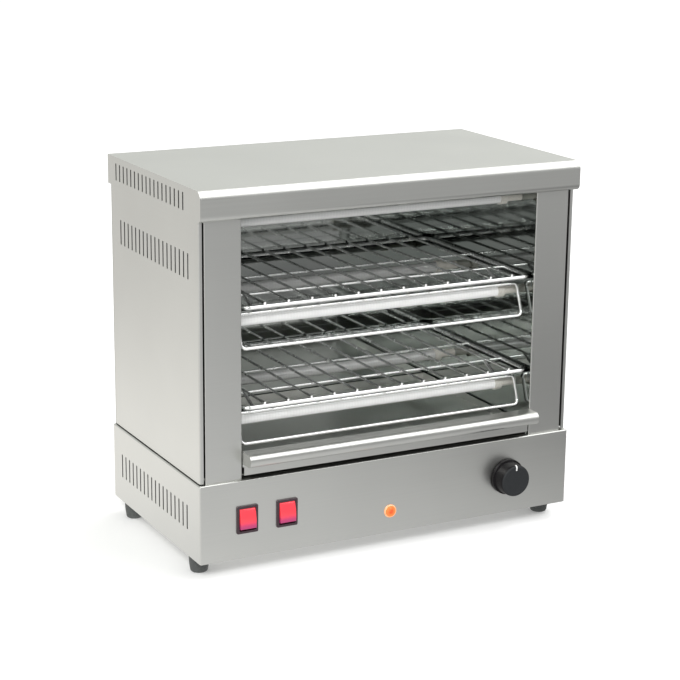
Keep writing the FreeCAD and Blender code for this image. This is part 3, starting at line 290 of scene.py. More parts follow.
floor_surface = shade.node("ShaderNodeMixShader", {}, {0: camera_ray, 1: reflected, 2: seen})
shade.node("ShaderNodeOutputMaterial", {}, {"Surface": floor_surface})
floor.data.materials.append(floor_material)
print("floor finish of", len(floor_material.node_tree.nodes), "nodes")

# %% [markdown]
# ## What every finish is made of
# No real surface is one flat colour, so each finish below has a noise that moves its colour and its
# gloss, and mostly a shallow bump. Pictures could do that too, but a noise in the piece's own
# coordinates needs no unwrapping and stays with the piece when that moves. These helpers lay the nodes
# and hang the finished material on CAD pieces.

# %% Helpers for finishes
def noise(shade, point, scale, detail, roughness=0.5):
    return shade.node("ShaderNodeTexNoise", {},
                      {"Vector": point, "Scale": scale, "Detail": detail, "Roughness": roughness})


def bump(shade, height, distance, strength):
    return shade.node("ShaderNodeBump", {},
                      {"Height": height, "Distance": distance, "Strength": strength})


def finish_surface(shade, **sockets):
    """A Principled shader with these sockets, wired to the output; underscores stand for spaces."""
    inputs = {name.replace("_", " "): value for name, value in sockets.items()}
    surface = shade.node("ShaderNodeBsdfPrincipled", {}, inputs)
    shade.node("ShaderNodeOutputMaterial", {}, {"Surface": surface})
    print("finish of", len(shade.tree.nodes), "nodes")


def paint(material, *names):
    """Give CAD nodes a material in place of the plain one that they came with."""
    for name in names:
        piece = nodes[name]
        piece.data.materials.clear()
        piece.data.materials.append(material)
    print(material.name, "on", len(names), "CAD pieces")


print("defined noise, bump, finish_surface and paint")

# %% [markdown]
# ## Brushed stainless sheet
# The sheet is ground with a fine belt, which leaves long shallow lines. A noise that is stretched far
# along the grain gives those lines; it moves the colour and the roughness a little and lifts a bump of
# a few hundredths of a millimetre. On upright faces the lines lie level, on the top they run along the
# width, so the noise is squeezed along Z there and along Y here. Anisotropic gloss is another way, but
# at this distance the lines alone read as ground steel. Broad faint clouds are the unevenness that any
# rolled sheet has.

# %% Brushed stainless
across_grain, along_grain = 1400, 3


def brushed_steel(name, color, roughness):
    material, shade = new_material(name)
    place = texture_point(shade).parts()
    facing = shade.node("ShaderNodeTexCoord", output="Normal").parts()
    lying = (facing[2] * facing[2]).between(0.4, 0.6)
    lines = shade.vector(place[0] * along_grain, place[1] * (lying * across_grain + along_grain),
                         place[2] * across_grain)
    grain = noise(shade, lines, scale=1, detail=3, roughness=0.6)
    clouds = noise(shade, texture_point(shade), scale=9, detail=2)
    tone = (grain - 0.5) * 0.4 + (clouds - 0.5) * 0.55 + 0.5
    darker = tuple(value * 0.90 for value in color)
    lighter = tuple(min(value * 1.10, 1) for value in color)
    finish_surface(shade, Base_Color=tone.clamp().blend(darker, lighter), Metallic=1.0,
                   Roughness=(grain - 0.5) * 0.18 + (clouds - 0.5) * 0.06 + roughness,
                   Normal=bump(shade, grain, 0.03 * mm, 0.35))
    return material


steel = brushed_steel("brushed_stainless", (0.62, 0.625, 0.60), 0.34)
paint(steel, "base_housing", "base_bottom_plate", "left_side_panel", "right_side_panel", "back_panel",
      "top_cover", "cover_brackets", "crumb_tray", "left_tray_runner", "right_tray_runner")

# %% [markdown]
# ## Polished cavity
# The walls beside and behind the racks are bright annealed sheet that throws the heat back. They are
# nearly mirrors, slightly green-grey and a little hazy from use, and their colour is painted darker
# than bare steel, as painted shade deep in the cavity. The upright beside the opening is the same
# sheet, but its face is ground like the outside. The faces could be shared out between two materials;
# here one material changes over the last millimetre before the front, where the sheet turns in.

# %% Polished stainless
mirror_end, ground_start = 116.2 * mm, 117.0 * mm
polished_steel, shade = new_material("polished_stainless")
place = texture_point(shade).parts()
lines = shade.vector(place[0] * along_grain, place[1] * along_grain, place[2] * across_grain)
grain = noise(shade, lines, scale=1, detail=3, roughness=0.6)
clouds = noise(shade, texture_point(shade), scale=14, detail=3)
outside = (place[1] * -1).between(mirror_end, ground_start)
# Painted shade: the mirror's colour is painted darker than bare steel, for the shade deep in the
# cavity.
polished = clouds.between(0.35, 0.7).blend((0.33, 0.35, 0.335), (0.38, 0.395, 0.38))
ground = ((grain - 0.5) * 0.35 + 0.5).blend((0.56, 0.565, 0.545), (0.66, 0.665, 0.64))
finish_surface(shade, Base_Color=outside.blend(polished, ground), Metallic=1.0,
               Roughness=outside * 0.29 + clouds * 0.05 + 0.03,
               Normal=bump(shade, grain * outside, 0.03 * mm, 0.35))
paint(polished_steel, "left_inner_wall", "right_inner_wall", "cavity_back_wall", "reflector_ceiling",
      "left_upper_rail", "right_upper_rail", "left_lower_rail", "right_lower_rail", "upper_rear_rail",
      "lower_rear_rail")

# %% [markdown]
# ## Chromed wire
# Rack and handle wires are drawn steel with bright chrome. The plating is smooth but never perfect, so
# the roughness drifts a little along the wires. Towards the rear the chrome grows rougher and a little
# less metallic, and it is painted darker there, as painted shade deep in the cavity. The long wires are
# cut off at the front rim, and their ends get a painted highlight: faces that look straight ahead are
# painted near white and less metallic, so the direction of a face finds the ends; on the cross wires
# the painted highlight is only a thin line.

# %% Chromed wire
clean_end, dull_start = -98 * mm, -30 * mm
chrome, shade = new_material("chromed_wire")
clouds = noise(shade, texture_point(shade), scale=60, detail=3)
patches = clouds.between(0.3, 0.7)
clean = patches.blend((0.80, 0.805, 0.80), (0.93, 0.93, 0.92))
dull_shaded_chrome = patches.blend((0.62, 0.63, 0.625), (0.76, 0.77, 0.76))
# Painted shade towards the rear, where the chrome also dulls: darker colour, more roughness, less
# metal.
rear_shade_and_dulling = (texture_point(shade).parts()[1] + clouds * 0.02).between(clean_end, dull_start)
facing = shade.node("ShaderNodeTexCoord", output="Normal").parts()
# Painted highlight on faces that look straight ahead: the wire ends and a thin line on the cross wires.
front_facing_highlight = (facing[1] * -1).between(0.94, 0.99) * (1 - rear_shade_and_dulling)
finish_surface(shade, Base_Color=front_facing_highlight.blend(rear_shade_and_dulling.blend(clean, dull_shaded_chrome), (0.97, 0.97, 0.96)),
               Metallic=(1 - rear_shade_and_dulling * 0.22) * (1 - front_facing_highlight * 0.85),
               Roughness=clouds * 0.16 + rear_shade_and_dulling * 0.10 + front_facing_highlight * 0.2 + 0.08)
paint(chrome, "upper_rack", "upper_rack_handle", "lower_rack", "lower_rack_handle")

# %% [markdown]
# ## Quartz tubes
# The tubes are milky quartz, smooth on the outside, with faint streaks along them and a trace of the
# coil behind. A little emission paints a glow on them, a painted light that stands for the daylight
# that milky quartz scatters from within; subsurface scattering could show that, but the painted glow
# does it at once and without grain. The top ones, which the cover shades, get no painted glow, and the
# rear ones get none either and are painted a darker grey, as painted shade deep in the cavity.

# %% Milky quartz
levels = ("top", "middle", "bottom")
quartz, shade = new_material("milky_quartz")
place = texture_point(shade).parts()
turns = place[0].waves(3.5 * mm)
streaks = noise(shade, shade.vector(place[0] * 6, place[1] * 300, place[2] * 300), scale=1, detail=2)
milk = (turns * 0.12 + streaks * 0.9 - 0.05).clamp()
# Painted shade: the rear tubes get a darker grey and no painted glow.
rear = place[1].between(-20 * mm, 20 * mm)
under_cover = place[2].between(300 * mm, 340 * mm)
# Painted glow, an emission on the lower front tubes; none under the cover, which shades the top ones.
lit = (rear + under_cover).clamp().blend((0.18, 0.18, 0.178), (0, 0, 0))
front_white = milk.blend((0.86, 0.87, 0.86), (0.97, 0.97, 0.96))
shaded_rear_grey = milk.blend((0.56, 0.57, 0.56), (0.70, 0.70, 0.69))
finish_surface(shade, Base_Color=rear.blend(front_white, shaded_rear_grey), Roughness=streaks * 0.15 + 0.12,
               Coat_Weight=0.6, Coat_Roughness=0.06, Specular_IOR_Level=0.6, Alpha=turns * 0.03 + 0.94,
               Emission_Color=lit, Emission_Strength=1.0)
paint(quartz, *[f"{level}_{row}_quartz_tube" for level in levels for row in ("front", "rear")])

# %% [markdown]
# ## Ceramic caps
# Each tube end sits in a cap of glazed steatite, cream and slightly speckled. A very fine noise gives
# the specks, and the same noise roughens the glaze a little, because the specks are pores in it.

# %% Glazed ceramic
ceramic, shade = new_material("glazed_ceramic")
specks = noise(shade, texture_point(shade), scale=900, detail=2)
cream = specks.between(0.35, 0.75).blend((0.66, 0.64, 0.58), (0.80, 0.78, 0.72))
finish_surface(shade, Base_Color=cream, Roughness=specks * 0.15 + 0.28,
               Normal=bump(shade, specks, 0.05 * mm, 0.3))
paint(ceramic, *[f"{level}_ceramic_caps" for level in levels])

# %% [markdown]
# ## Working on one piece
# The pieces below are made with the operators that a hand would use. These helpers enter edit mode on
# one piece, put it in its place, copy it with a mesh of its own, join several to one, and hand the
# finished piece over to the body that carries it. Placing and turning are applied at once, so that
# every finished piece keeps its origin at the middle of the scene.

# %% Helpers for one piece
def edit(item):
    """Enter edit mode on this piece alone."""
    start_clean()
    item.select_set(True)
    bpy.context.view_layer.objects.active = item
    bpy.ops.object.mode_set(mode="EDIT")


def put(item, place, turn=(0, 0, 0)):
    """Turn a piece about the origin, in degrees, move it to its place in mm, and apply both."""
    start_clean()
    item.select_set(True)
    bpy.context.view_layer.objects.active = item
    item.rotation_euler = [math.radians(angle) for angle in turn]
    item.location = [value * mm for value in place]
    bpy.ops.object.transform_apply(location=True, rotation=True, scale=True)
    return item


def copy_of(item, name, place, turn=(0, 0, 0)):
    """A copy with its own mesh, turned and put in its place."""
    start_clean()
    item.select_set(True)
    bpy.context.view_layer.objects.active = item
    bpy.ops.object.duplicate()
    made = bpy.context.object
    made.name = name
    return put(made, place, turn)


def join(items, name):
    start_clean()
    for item in items:
        item.select_set(True)
    bpy.context.view_layer.objects.active = items[0]
    bpy.ops.object.join()
    items[0].name = name
    return items[0]


def hand_over(item, material, body, replaced, angle=35):
    """Merge doubles, point the faces outwards, smooth, and give the piece its finish and its body."""
    edit(item)
    bpy.ops.mesh.select_all(action="SELECT")
    bpy.ops.mesh.remove_doubles(threshold=0.001 * mm)
    bpy.ops.mesh.normals_make_consistent(inside=False)
    bpy.ops.object.mode_set(mode="OBJECT")
    bpy.ops.object.shade_smooth_by_angle(angle=math.radians(angle))
    item.data.materials.clear()
    item.data.materials.append(material)
    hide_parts(replaced)
    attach(item, body)
    print(item.name, len(item.data.polygons), "faces")


print("defined edit, put, copy_of, join and hand_over")

# %% [markdown]
# ## Oxidised wire
# The coils are resistance wire with an oxide skin, dark with lighter bands. The bands follow the length
# of the tube, so a wave along X is all that they need.

# %% Oxidised wire
coil_wire, shade = new_material("oxidised_coil")
bands = texture_point(shade).parts()[0].waves(1.6 * mm)
finish_surface(shade, Base_Color=bands.blend((0.05, 0.045, 0.04), (0.30, 0.27, 0.24)), Metallic=0.9,
               Roughness=bands * 0.2 + 0.45, Normal=bump(shade, bands, 0.4 * mm, 0.8))

# %% [markdown]
# ## Heating coils
# Inside each tube lies a wound coil. A curve with a bevel could follow a helix, but a small circle
# beside the axis, turned and pushed along by the Screw modifier, is how a coil is wound for real. Six
# sides are enough for a wire this thin, because there are over a hundred turns.

# %% Heating coils
wire_radius, coil_radius, coil_pitch, end_gap = 0.45, 4.25, 3.0, 2
tube_low, tube_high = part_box("middle_front_quartz_tube")
coil_start, coil_end = tube_low.x / mm + end_gap, tube_high.x / mm - end_gap
start_clean()
bpy.ops.mesh.primitive_circle_add(vertices=6, radius=wire_radius * mm,
                                  location=(0, 0, coil_radius * mm), rotation=(math.pi / 2, 0, 0))
coil = bpy.context.object
bpy.ops.object.transform_apply(location=True, rotation=True, scale=True)
winding = coil.modifiers.new("winding", "SCREW")
winding.axis = "X"
winding.screw_offset = coil_pitch * mm
winding.iterations = int((coil_end - coil_start) / coil_pitch)
winding.steps = winding.render_steps = 12
print(winding.iterations, "turns")
bpy.ops.object.modifier_apply(modifier="winding")
edit(coil)
bpy.ops.mesh.select_all(action="SELECT")
bpy.ops.mesh.fill_holes(sides=6)
for level in levels:
    pair = []
    for row in ("front", "rear"):
        low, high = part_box(f"{level}_{row}_quartz_tube")
        axis_y, axis_z = (low.y + high.y) / 2 / mm, (low.z + high.z) / 2 / mm
        pair.append(copy_of(coil, f"{level}_{row}_coil", (coil_start, axis_y, axis_z)))
    wound = join(pair, f"{level}_wound_coils")
    hand_over(wound, coil_wire, "cabinet", f"{level}_heating_coils", angle=60)
bpy.data.objects.remove(coil)

# %% [markdown]
# ## Plastics and rubber
# Moulded pieces take the fine grain of their mould. The same noise moves the colour, the roughness and
# a very shallow bump. One helper serves them all, because black, pale and clear plastics differ only in
# their two colours, their gloss and whether a lamp glows behind them. The control behind the knob, the
# cable gland and the terminal block keep their CAD shape and get such finishes here.

# %% Moulded finishes
def moulded(name, dark, light, roughness, coat=0.0, glow=None):
    """Plastic or rubber with a fine moulded grain; a glow stands for a lamp behind it."""
    material, shade = new_material(name)
    grain = noise(shade, texture_point(shade), scale=700, detail=3)
    tone = grain.between(0.3, 0.7)
    lit = {}
    if glow:
        dimmer = tuple(value * 0.9 for value in glow)
        lit = {"Emission_Color": tone.blend(glow, dimmer), "Emission_Strength": 0.5}
    finish_surface(shade, Base_Color=tone.blend(dark, light), Roughness=grain * 0.12 + roughness,
                   Coat_Weight=coat, Normal=bump(shade, grain, 0.04 * mm, 0.25), **lit)
    return material


satin_black = moulded("satin_black", (0.02, 0.02, 0.02), (0.035, 0.035, 0.036), 0.42)
paint(satin_black, "regulator", "cable_gland", "gland_dome_nut", "gland_locknut")
pale_plastic = moulded("pale_plastic", (0.74, 0.73, 0.69), (0.82, 0.81, 0.77), 0.4)
paint(pale_plastic, "terminal_block")

# %% [markdown]
# ## Red of the rockers
# The rockers are clear red plastic over a lamp. Seen from the front the upper part glows pink red and
# the foot turns towards purple; that split is painted light and shade, the upper part painted brighter
# as if lit from above and the foot painted darker and purple, as the shade of a face turned down. Real
# light through clear plastic takes long to render, so a little emission stands for it, and it is
# painted stronger on the upper part. The colour follows the height of a point on the rocker, so it
# stays with the piece when that turns.

# %% Red plastic
foot_height, glowing_height = 53.5 * mm, 62.0 * mm
red_plastic, shade = new_material("red_plastic")
height = texture_point(shade).parts()[2]
speckle = noise(shade, texture_point(shade), scale=900, detail=2)
# Painted light and shade: the upper part painted bright pink red, the foot painted darker and purple.
painted_lit_upper = (height + (speckle - 0.5) * 0.002).between(foot_height, glowing_height)
finish_surface(shade, Base_Color=painted_lit_upper.blend((0.40, 0.030, 0.135), (0.80, 0.045, 0.065)),
               Roughness=speckle * 0.1 + 0.16, Coat_Weight=0.4, Coat_Roughness=0.1,
               Emission_Color=painted_lit_upper.blend((0.28, 0.020, 0.090), (0.80, 0.035, 0.055)),
               Emission_Strength=0.36)

# %% [markdown]
# ## Blocks, chosen edges and turned shapes
# More helpers, now for shapes. A block is a cube scaled between two corners, where box modelling
# starts. Faces and edges are chosen by where they lie and how they face, as a hand would click them,
# because their numbers change with every cut; `near` is how close, in mm, counts as the same place. A
# turned shape is half of its outline, drawn point by point and spun about the axis.

# %% Helpers for shapes
def block(name, low, high):
    """A cube scaled to lie between two corners, given in mm."""
    start_clean()
    bpy.ops.mesh.primitive_cube_add(size=1, location=[(a + b) / 2 * mm for a, b in zip(low, high)])
    item = bpy.context.object
    item.name = name
    item.scale = [(b - a) * mm for a, b in zip(low, high)]
    bpy.ops.object.transform_apply(location=True, rotation=True, scale=True)
    return item


near = 0.1


def select(item, kind, test):
    """In edit mode, select by a test that gets the middle, in mm, and the face or edge itself."""
    bpy.ops.mesh.select_mode(type=kind)
    bpy.ops.mesh.select_all(action="DESELECT")
    shape = bmesh.from_edit_mesh(item.data)
    shape.normal_update()
    for element in (shape.faces if kind == "FACE" else shape.edges):
        middle = sum((corner.co for corner in element.verts), Vector()) / mm / len(element.verts)
        if test(middle, element):
            element.select_set(True)
    bmesh.update_edit_mesh(item.data)


def sharp(edge, angle=30):
    return len(edge.link_faces) == 2 and edge.calc_face_angle(0) > math.radians(angle)


def push_back(depth):
    """Extrude the selected faces towards the rear by this depth in mm."""
    bpy.ops.mesh.extrude_region_move(TRANSFORM_OT_translate={"value": (0, depth * mm, 0)})


def chain(name, points):
    """A chain of edges: one point, extruded from place to place. It stays in edit mode, selected."""
    start_clean()
    bpy.ops.mesh.primitive_plane_add(size=0.1 * mm, location=Vector(points[0]) * mm)
    item = bpy.context.object
    item.name = name
    bpy.ops.object.transform_apply(location=True, rotation=True, scale=True)
    bpy.ops.object.mode_set(mode="EDIT")
    bpy.ops.mesh.select_mode(type="VERT")
    bpy.ops.mesh.merge(type="CENTER")
    for start, end in zip(points, points[1:]):
        step = (Vector(end) - Vector(start)) * mm
        bpy.ops.mesh.extrude_vertices_move(TRANSFORM_OT_translate={"value": tuple(step)})
    bpy.ops.mesh.select_all(action="SELECT")
    return item


def turned(name, profile, steps=64):
    """Spin a profile of (radius, height) points, in mm, about the Z axis."""
    item = chain(name, [(radius, 0, height) for radius, height in profile])
    bpy.ops.mesh.spin(steps=steps, angle=2 * math.pi, center=(0, 0, 0), axis=(0, 0, 1))
    bpy.ops.mesh.select_all(action="SELECT")
    bpy.ops.mesh.remove_doubles(threshold=0.001 * mm)
    bpy.ops.mesh.normals_make_consistent(inside=False)
    bpy.ops.object.mode_set(mode="OBJECT")
    return item


print("defined block, select, sharp, push_back, chain and turned")

# %% [markdown]
# ## Rockers
# A rocker is a thick curved slab on a pin. A block is cut across by subdividing its long edges, the
# new rows of the front are pulled out to the crest, the back is drawn in so that it can tilt in its
# well, and the edges are rounded. A piece of a cylinder would give the curve too, but not the flat
# sides and the taper. The pin is turned on its own and joined in. At rest the top of each rocker is
# pressed in, so the piece is tilted a little before it is put in its place.

# %% Rockers
switch_x, switch_z, switch_pitch, pin_y = -171.6, 61.8, 45.8, -117.5
half_wide, half_high, front_y, crest = 8.95, 10.9, -7.2, 1.4
slab_back, back_depth, back_share = -3, 6, 0.36
rows, rest_tilt, round_radius = 10, -9.5, 0.7
rocker = block("left_rocker_cap", (-half_wide, front_y, -half_high), (half_wide, slab_back, half_high))
edit(rocker)
select(rocker, "FACE", lambda middle, face: face.normal.y > 0.9)
push_back(back_depth)
bpy.ops.transform.resize(value=(1, 1, back_share), center_override=(0, 0, 0))
select(rocker, "EDGE", lambda middle, edge: middle.y < slab_back + near and abs(middle.z) < near)
bpy.ops.mesh.subdivide(number_cuts=rows - 1)
for index in range(1, rows):
    row_z = half_high * (2 * index / rows - 1)
    pull = crest * (1 - (row_z / half_high) ** 2)
    select(rocker, "EDGE", lambda middle, edge: middle.y < front_y + near and abs(middle.x) < near
           and abs(middle.z - row_z) < near)
    bpy.ops.transform.translate(value=(0, -pull * mm, 0))
select(rocker, "EDGE", lambda middle, edge: middle.y < front_y + near and sharp(edge, 40))
bpy.ops.mesh.bevel(offset=round_radius * mm, segments=3, affect="EDGES")
pin = turned("rocker_pin", [(0, -10), (1.2, -10), (1.5, -9.7), (1.5, 9.7), (1.2, 10), (0, 10)], 24)
put(pin, (0, 0, 0), (0, 90, 0))
rocker = put(join([rocker, pin], "left_rocker_cap"), (switch_x, pin_y, switch_z), (rest_tilt, 0, 0))
second = copy_of(rocker, "right_rocker_cap", (switch_pitch, 0, 0))
hand_over(rocker, red_plastic, "left_rocker_body", "left_rocker")
hand_over(second, red_plastic, "right_rocker_body", "right_rocker")

# %% [markdown]
# ## Switch bodies
# A snap-in switch is a bezel with a smaller box behind it. The box is inset and pushed out of the
# bezel's back, the well for the rocker is inset and pushed in from its front. An inset keeps the walls
# even all round, which scaling a face would not. The bezel's upright corners get a wide round and its
# outline a fine one.

# %% Switch bodies
base_front = -121.5
bezel_half_wide, bezel_half_high, bezel_thick = 12.1, 15.1, 2
shoulder, body_depth, well_wall, well_depth = 1.4, 24, 2.8, 13
corner_round, outline_round, well_round = 1.6, 0.7, 0.3


def on_outline(middle):
    """Outside the shoulder, so on the rim of the bezel and not on that of the well."""
    return abs(middle.x) > bezel_half_wide - shoulder or abs(middle.z) > bezel_half_high - shoulder


def sharp_in_front(middle, edge):
    return middle.y < near - bezel_thick and sharp(edge)


bezel_plastic = moulded("bezel_plastic", (0.030, 0.014, 0.020), (0.045, 0.022, 0.030), 0.30, coat=0.2)
switch = block("left_switch_case", (-bezel_half_wide, -bezel_thick, -bezel_half_high),
               (bezel_half_wide, 0, bezel_half_high))
edit(switch)
select(switch, "FACE", lambda middle, face: face.normal.y > 0.9)
bpy.ops.mesh.inset(thickness=shoulder * mm)
push_back(body_depth)
select(switch, "FACE", lambda middle, face: face.normal.y < -0.9)
bpy.ops.mesh.inset(thickness=well_wall * mm)
push_back(well_depth)
select(switch, "EDGE", lambda middle, edge: abs(middle.x) > bezel_half_wide - near
       and abs(middle.z) > bezel_half_high - near)
bpy.ops.mesh.bevel(offset=corner_round * mm, segments=4, affect="EDGES")
select(switch, "EDGE", lambda middle, edge: sharp_in_front(middle, edge) and on_outline(middle))
bpy.ops.mesh.bevel(offset=outline_round * mm, segments=3, affect="EDGES")
select(switch, "EDGE", lambda middle, edge: sharp_in_front(middle, edge) and not on_outline(middle))
bpy.ops.mesh.bevel(offset=well_round * mm, segments=2, affect="EDGES")
put(switch, (switch_x, base_front, switch_z))
second = copy_of(switch, "right_switch_case", (switch_pitch, 0, 0))
hand_over(switch, bezel_plastic, "cabinet", "left_switch_body")
hand_over(second, bezel_plastic, "cabinet", "right_switch_body")

# %% [markdown]
# ## Knob plastic
# The knob is black, deepest on its grip, while the face is polished less and looks a dark grey. The
# change lies on the wide bevel, at a set height over the knob's foot, which is simpler than two
# materials on one piece.

# %% Knob plastic
knob_place = (145.5, -122.5, 61.5)
grip_end, face_start = 18.0 * mm, 19.3 * mm
knob_plastic, shade = new_material("knob_plastic")
grain = noise(shade, texture_point(shade), scale=700, detail=3)
height = knob_place[1] * mm - texture_point(shade).parts()[1]
face = height.between(grip_end, face_start)
side_color = grain.blend((0.004, 0.003, 0.004), (0.012, 0.011, 0.012))
face_color = grain.blend((0.022, 0.024, 0.026), (0.034, 0.036, 0.038))
finish_surface(shade, Base_Color=face.blend(side_color, face_color), Specular_IOR_Level=0.18,
               Roughness=grain * 0.12 + face * 0.10 + 0.30, Normal=bump(shade, grain, 0.04 * mm, 0.25))

# %% [markdown]
# ## Control knob
# A knob is a turned shape: a hollow back over the regulator's nut, a thin skirt against the panel, a
# grip that tapers a little, a wide soft bevel, and a face that is a shade hollow. It could be a stack
# of cylinders with bevels, but a spun outline gives every ring its own radius. Each list below is one
# of those stretches of the outline, as pairs of radius and height.

# %% Control knob
to_the_front = (90, 0, 0)
hollow_back = [(0, 8), (11, 8), (11, 0.3), (11.4, 0)]
skirt = [(19.5, 0), (20, 0.5), (20, 3.4), (19.5, 4), (18.9, 4)]
grip = [(18.45, 4.15), (18.2, 4.6), (18.15, 5.6), (17.95, 5.9), (17.95, 6.2), (18.1, 6.5),
        (17.85, 15), (17.75, 18.0)]
soft_bevel = [(17.5, 18.75), (16.9, 19.4), (15.9, 19.9), (15.0, 20.05)]
hollow_face = [(14.3, 20.0), (13.4, 19.8), (12, 19.7), (6, 19.65), (0, 19.65)]
knob = turned("turned_knob", hollow_back + skirt + grip + soft_bevel + hollow_face, 96)
put(knob, knob_place, to_the_front)
hand_over(knob, knob_plastic, "knob", "control_knob", angle=28)

# %% [markdown]
# ## Pointer mark
# The white mark runs from the grip over the bevel onto the face, as an inlaid strip does. It could be
# painted by the knob's material, but a strip of its own keeps a crisp edge at any distance. A chain of
# points follows the knob's outline a tenth of a millimetre outside it, is extruded sideways to a
# ribbon, and gets its thickness from Solidify.

# %% Pointer mark
mark_width, mark_thickness = 1.6, 0.4
strip = [(17.90, 17.2), (17.86, 18.05), (17.6, 18.82), (16.97, 19.5), (15.93, 20.03), (15.0, 20.18),
         (14.3, 20.13), (13.4, 19.93), (12.2, 19.85)]
white_mark = moulded("white_mark", (0.86, 0.86, 0.85), (0.94, 0.94, 0.93), 0.35)
mark = chain("knob_mark", [(-mark_width / 2, radius, height) for radius, height in strip])
bpy.ops.mesh.extrude_edges_move(TRANSFORM_OT_translate={"value": (mark_width * mm, 0, 0)})
bpy.ops.mesh.select_all(action="SELECT")
bpy.ops.mesh.normals_make_consistent(inside=False)
bpy.ops.object.mode_set(mode="OBJECT")
inlay = mark.modifiers.new("inlay", "SOLIDIFY")
inlay.thickness = mark_thickness * mm
inlay.offset = 0
bpy.ops.object.modifier_apply(modifier="inlay")
put(mark, knob_place, to_the_front)
hand_over(mark, white_mark, "knob", "knob_pointer")

# %% [markdown]
# ## Lens plastic
# The pilot lamp's lens is clear orange with rings moulded into it, and the lamp behind shows as a
# deeper spot in the middle. Glass with a lamp inside would need many bounces of light; two patterns
# that follow the distance from the lens's own axis give the same picture.

# %% Ribbed lens plastic
pilot_x, pilot_z, ring_pitch = -1.6, 43.5, 1.15
lens_plastic, shade = new_material("lens_plastic")
place = texture_point(shade).parts()
radius = (place[0] - pilot_x * mm).length_with(place[2] - pilot_z * mm) * (1 / mm)
rings = radius.waves(ring_pitch)
lamp_behind = (1 - radius.between(1.4, 3.8)) * 0.7 + (1 - rings) * 0.3 * (1 - radius.between(3.5, 5.5))
finish_surface(shade, Base_Color=lamp_behind.blend((0.95, 0.22, 0.05), (0.62, 0.09, 0.02)),
               Roughness=rings * 0.1 + 0.12, Coat_Weight=0.5,
               Emission_Color=lamp_behind.blend((0.95, 0.17, 0.02), (0.60, 0.07, 0.01)),
               Emission_Strength=0.4)

# %% [markdown]
# ## Pilot lamp
# The lens is a ribbed dome: rings on it spread the light of the lamp behind. Both the lens and its
# housing, with its pale bezel, are round, so both are turned. A loop writes the four ribs, each a step
# up to a flat crown, and their crowns follow the dome.

# %% Pilot lamp
pilot_place = (pilot_x, base_front, pilot_z)
peach_plastic = moulded("peach_plastic", (0.90, 0.42, 0.20), (1.0, 0.55, 0.30), 0.20, coat=0.4,
                        glow=(0.60, 0.26, 0.12))
lens_seat = [(0, -5), (5.75, -5), (5.75, 1.1)]
bezel_rim = [(5.95, 1.4), (6.6, 1.4), (7.1, 1.0), (7.3, 0.5), (7.3, 0)]
barrel = [(6.4, 0), (6.4, -18), (5.6, -20), (0, -20)]
housing = put(turned("pilot_housing", lens_seat + bezel_rim + barrel), pilot_place, to_the_front)
hand_over(housing, peach_plastic, "cabinet", "pilot_body")
ribs = []
for ring in range(4):
    outer = 4.9 - ring * ring_pitch
    crown = 3.15 - 0.030 * outer ** 2
    ribs += [(outer, crown - 0.45), (outer - 0.35, crown), (outer - 0.75, crown)]
lens_side, lens_middle = [(0, -5), (5.7, -5), (5.7, 1.5), (5.4, 2.0)], [(0.8, 2.7), (0, 2.7)]
lens = put(turned("ribbed_lens", lens_side + ribs + lens_middle), pilot_place, to_the_front)
hand_over(lens, lens_plastic, "cabinet", "pilot_lens")

# %% [markdown]
# ## Feet
# Soft rubber feet, a little barrel shaped, with a rounded lower edge and a deep recess for the screw
# that holds them. One is turned and copied to the four corners, so that all four stay the same.

# %% Feet
screw_recess = [(0, 9), (4.5, 9), (4.75, 8.7), (4.75, 0.6), (5.2, 0.1)]
round_sole = [(6.0, 0), (7.1, 0.05), (8.1, 0.4), (8.9, 1.1), (9.4, 2.2)]
barrel_side = [(9.8, 4.5), (10.3, 8.5), (10.7, 13), (10.95, 17), (11, 18.2), (10.8, 18.5), (0, 18.5)]
rubber = moulded("black_rubber", (0.055, 0.060, 0.058), (0.085, 0.092, 0.088), 0.55)
foot = turned("rubber_foot", screw_recess + round_sole + barrel_side, 48)
for corner in ("front_left", "front_right", "rear_left", "rear_right"):
    low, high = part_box(f"{corner}_foot")
    place = ((low.x + high.x) / 2 / mm, (low.y + high.y) / 2 / mm, 0)
    one = copy_of(foot, f"{corner}_rubber_foot", place)
    hand_over(one, rubber, "cabinet", f"{corner}_foot")
bpy.data.objects.remove(foot)

# %% [markdown]
# ## One screw
# A pan-head screw with a cross recess. The head and the shank are turned in one outline, whose zigzag
# makes the thread: plain grooves look like a winding thread at this size and cost far fewer faces. Two
# thin blocks are cut out of the head for the recess. The nut and the shaft of the regulator have the
# same zinc finish.

# %% Pan-head screw
zinc = brushed_steel("zinc_plated", (0.60, 0.61, 0.62), 0.30)
paint(zinc, "regulator_nut", "regulator_shaft")
thread_radius, core_radius, thread_pitch = 2.0, 1.65, 0.7
tip_radius, tip_length, smooth_length = 1.5, 0.9, 1.4
pan_head = [(2.0, -0.3), (2.0, 0), (3.9, 0), (4.0, 0.2), (3.95, 0.8), (3.5, 1.55), (2.6, 2.1),
            (1.3, 2.35), (0, 2.4)]


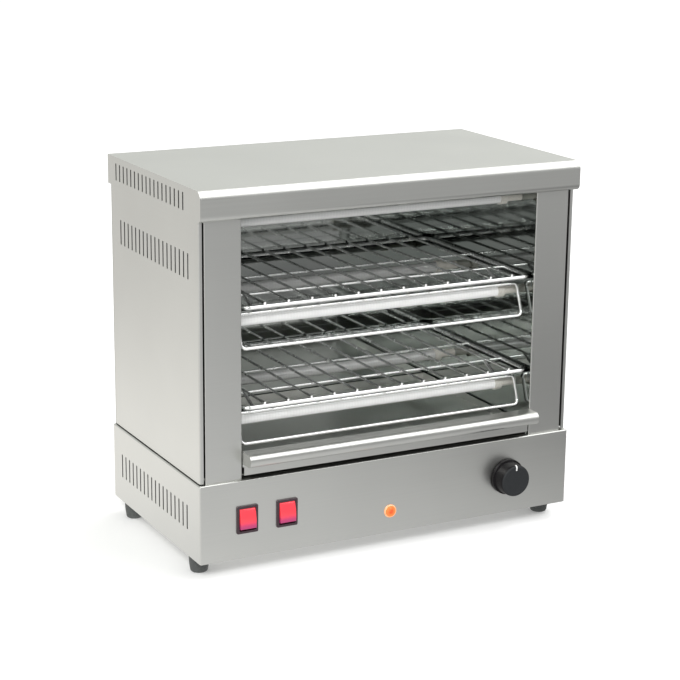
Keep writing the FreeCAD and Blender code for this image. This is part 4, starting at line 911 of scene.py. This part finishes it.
def pan_head_screw(reach):
    """A screw whose underside of the head lies at height 0, with a shank of this reach below."""
    outline = [(0, -reach), (tip_radius, -reach)]
    for tooth in range(int((reach - smooth_length) / thread_pitch)):
        rise = -reach + tip_length + tooth * thread_pitch
        outline += [(thread_radius, rise), (core_radius, rise + thread_pitch / 2)]
    screw = turned("pan_head_screw", outline + pan_head, 24)
    for half_long, half_broad in ((2.2, 0.4), (0.4, 2.2)):
        cutter = block("recess", (-half_long, -half_broad, 0.9), (half_long, half_broad, 3))
        recess = screw.modifiers.new("recess", "BOOLEAN")
        recess.operation = "DIFFERENCE"
        recess.object = cutter
        start_clean()
        screw.select_set(True)
        bpy.context.view_layer.objects.active = screw
        bpy.ops.object.modifier_apply(modifier="recess")
        bpy.data.objects.remove(cutter)
    return screw


print("screws with a", 2 * thread_radius, "mm thread of", thread_pitch, "mm pitch")

# %% [markdown]
# ## Screws in their places
# The back panel, the cover's rear skirt, the bottom plate and the feet are each held by one kind of
# screw. Each group is one screw copied to its places and joined to one piece, as the CAD model keeps
# them. The places are those of the holes in the sheets, in mm.

# %% Screws
def screw_group(name, node, reach, places, turn):
    """One screw, copied to each place under its head and turned the way that it faces."""
    screw = pan_head_screw(reach)
    copies = [copy_of(screw, f"{name}_{index}", place, turn) for index, place in enumerate(places)]
    bpy.data.objects.remove(screw)
    hand_over(join(copies, name), zinc, "cabinet", node, angle=30)


to_the_rear, downwards = (-90, 0, 0), (180, 0, 0)
panel_places = [(x, 119.3, z) for x in (-215.9, 215.9) for z in (133.7, 244.35, 355.0)]
skirt_places = [(x, 124.5, 399.5) for x in (-150, 150)]
plate_places = [(x, y, 18.5) for x in (-165, 165) for y in (-109.5, 109.5)]
feet_places = [(x, y, 9) for x in (-212, 212) for y in (-88.5, 93.5)]
screw_group("panel_screws", "back_panel_screws", 8, panel_places, to_the_rear)
screw_group("skirt_screws", "cover_screws", 4, skirt_places, to_the_rear)
screw_group("plate_screws", "bottom_plate_screws", 8, plate_places, downwards)
screw_group("feet_screws", "foot_screws", 18, feet_places, downwards)

# %% [markdown]
